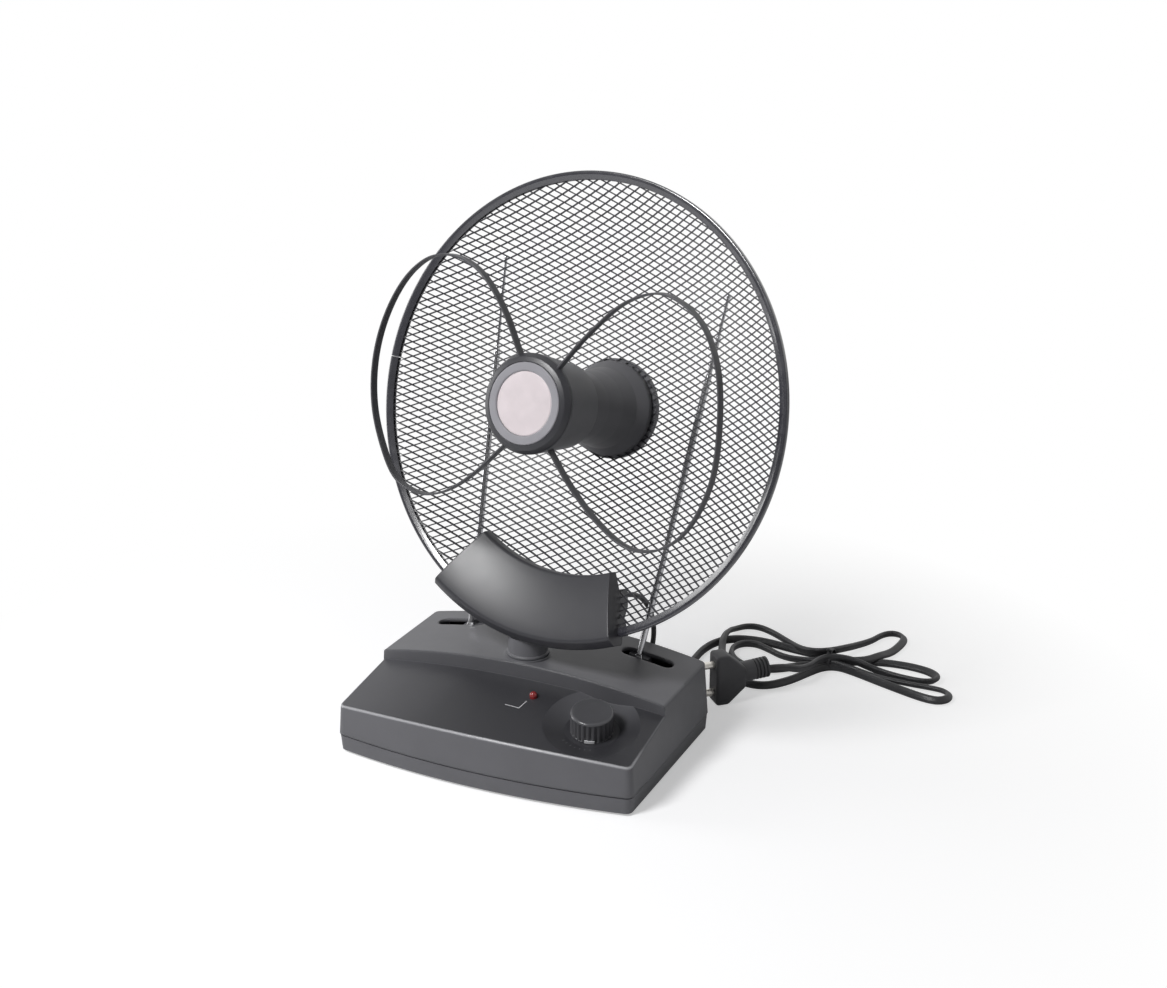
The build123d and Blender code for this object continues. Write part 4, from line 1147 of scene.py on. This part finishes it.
# Studio: white floor with a soft shadow, white surroundings, two soft lamps
def ray_is(tree, *kinds):
    """1 for a ray of one of the given kinds, else 0."""
    path = add(tree, "ShaderNodeLightPath")
    value = path.outputs[kinds[0]]
    for kind in kinds[1:]:
        value = combined(tree, "MAXIMUM", value, path.outputs[kind])
    return value


def make_world(ambient, room):
    """White where it is seen, soft light on surfaces, and for reflections dark in front and white behind."""
    world = bpy.data.worlds.new("studio")
    scene.world = world
    world.use_nodes = True
    tree = world.node_tree
    tree.nodes.clear()
    out = add(tree, "ShaderNodeOutputWorld")
    soft = add(tree, "ShaderNodeBackground", {"Color": (0.97, 0.98, 1.0, 1), "Strength": ambient})
    white = add(tree, "ShaderNodeBackground", {"Color": (1, 1, 1, 1), "Strength": 1.0})
    mirrored = add(tree, "ShaderNodeBackground")
    place = add(tree, "ShaderNodeTexCoord")
    depth = axes(tree, place.outputs["Generated"])["Y"]
    tree.links.new(spread(tree, depth, room, 1.0, -0.7, 0.3), mirrored.inputs["Strength"])
    lit = mixed(tree, ray_is(tree, "Is Glossy Ray"), soft.outputs[0], mirrored.outputs[0])
    seen = ray_is(tree, "Is Camera Ray", "Is Transmission Ray")
    tree.links.new(mixed(tree, seen, lit, white.outputs[0]), out.inputs["Surface"])


def make_floor(glow, mirrored):
    """Pale floor that keeps the object's shadow and runs out into white; reflections see it dimmer."""
    bm = bmesh.new()
    bmesh.ops.create_grid(bm, x_segments=2, y_segments=2, size=6.0)
    mesh = bpy.data.meshes.new("floor")
    bm.to_mesh(mesh)
    bm.free()
    floor = bpy.data.objects.new("floor", mesh)
    floor.location.z = -0.0002
    scene.collection.objects.link(floor)
    material = bpy.data.materials.new("floor_white")
    material.use_nodes = True
    tree = material.node_tree
    tree.nodes.clear()
    out = add(tree, "ShaderNodeOutputMaterial")
    plain = add(tree, "ShaderNodeBsdfDiffuse", {"Color": (0.82, 0.82, 0.83, 1)})
    light = add(tree, "ShaderNodeEmission", {"Color": (1, 1, 1, 1)})
    level = spread(tree, ray_is(tree, "Is Glossy Ray"), glow, mirrored, 0.0, 1.0)
    tree.links.new(level, light.inputs["Strength"])
    both = add(tree, "ShaderNodeAddShader")
    tree.links.new(plain.outputs[0], both.inputs[0])
    tree.links.new(light.outputs[0], both.inputs[1])
    watched = ray_is(tree, "Is Camera Ray", "Is Glossy Ray", "Is Transmission Ray")
    near = mixed(tree, watched, plain.outputs[0], both.outputs[0])
    white = add(tree, "ShaderNodeEmission", {"Color": (1, 1, 1, 1), "Strength": 1.0})
    place = add(tree, "ShaderNodeTexCoord")
    reach = add(tree, "ShaderNodeVectorMath", operation="LENGTH")
    tree.links.new(place.outputs["Object"], reach.inputs[0])
    fade = spread(tree, reach.outputs["Value"], 0.0, 1.0, 0.12, 0.42)
    far = combined(tree, "MULTIPLY", fade, ray_is(tree, "Is Camera Ray", "Is Transmission Ray"))
    tree.links.new(mixed(tree, far, near, white.outputs[0]), out.inputs["Surface"])
    mesh.materials.append(material)
    floor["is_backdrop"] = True


def make_lamp(name, place, aim, width, height, power):
    data = bpy.data.lights.new(name, "AREA")
    data.shape = "RECTANGLE"
    data.size = width
    data.size_y = height
    data.energy = power
    lamp = bpy.data.objects.new(name, data)
    lamp.location = place
    lamp.rotation_euler = (Vector(aim) - Vector(place)).to_track_quat("-Z", "Y").to_euler()
    scene.collection.objects.link(lamp)


make_world(ambient=0.14, room=0.22)
make_floor(glow=0.42, mirrored=0.08)
make_lamp("key", (-0.52, -1.14, 1.46), aim=(0, 0, 0.12), width=0.5, height=0.5, power=25.0)
make_lamp("band", (-1.35, -0.25, 0.40), aim=(0.05, 0.05, 0.2), width=0.5, height=0.7, power=4.5)

low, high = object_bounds()
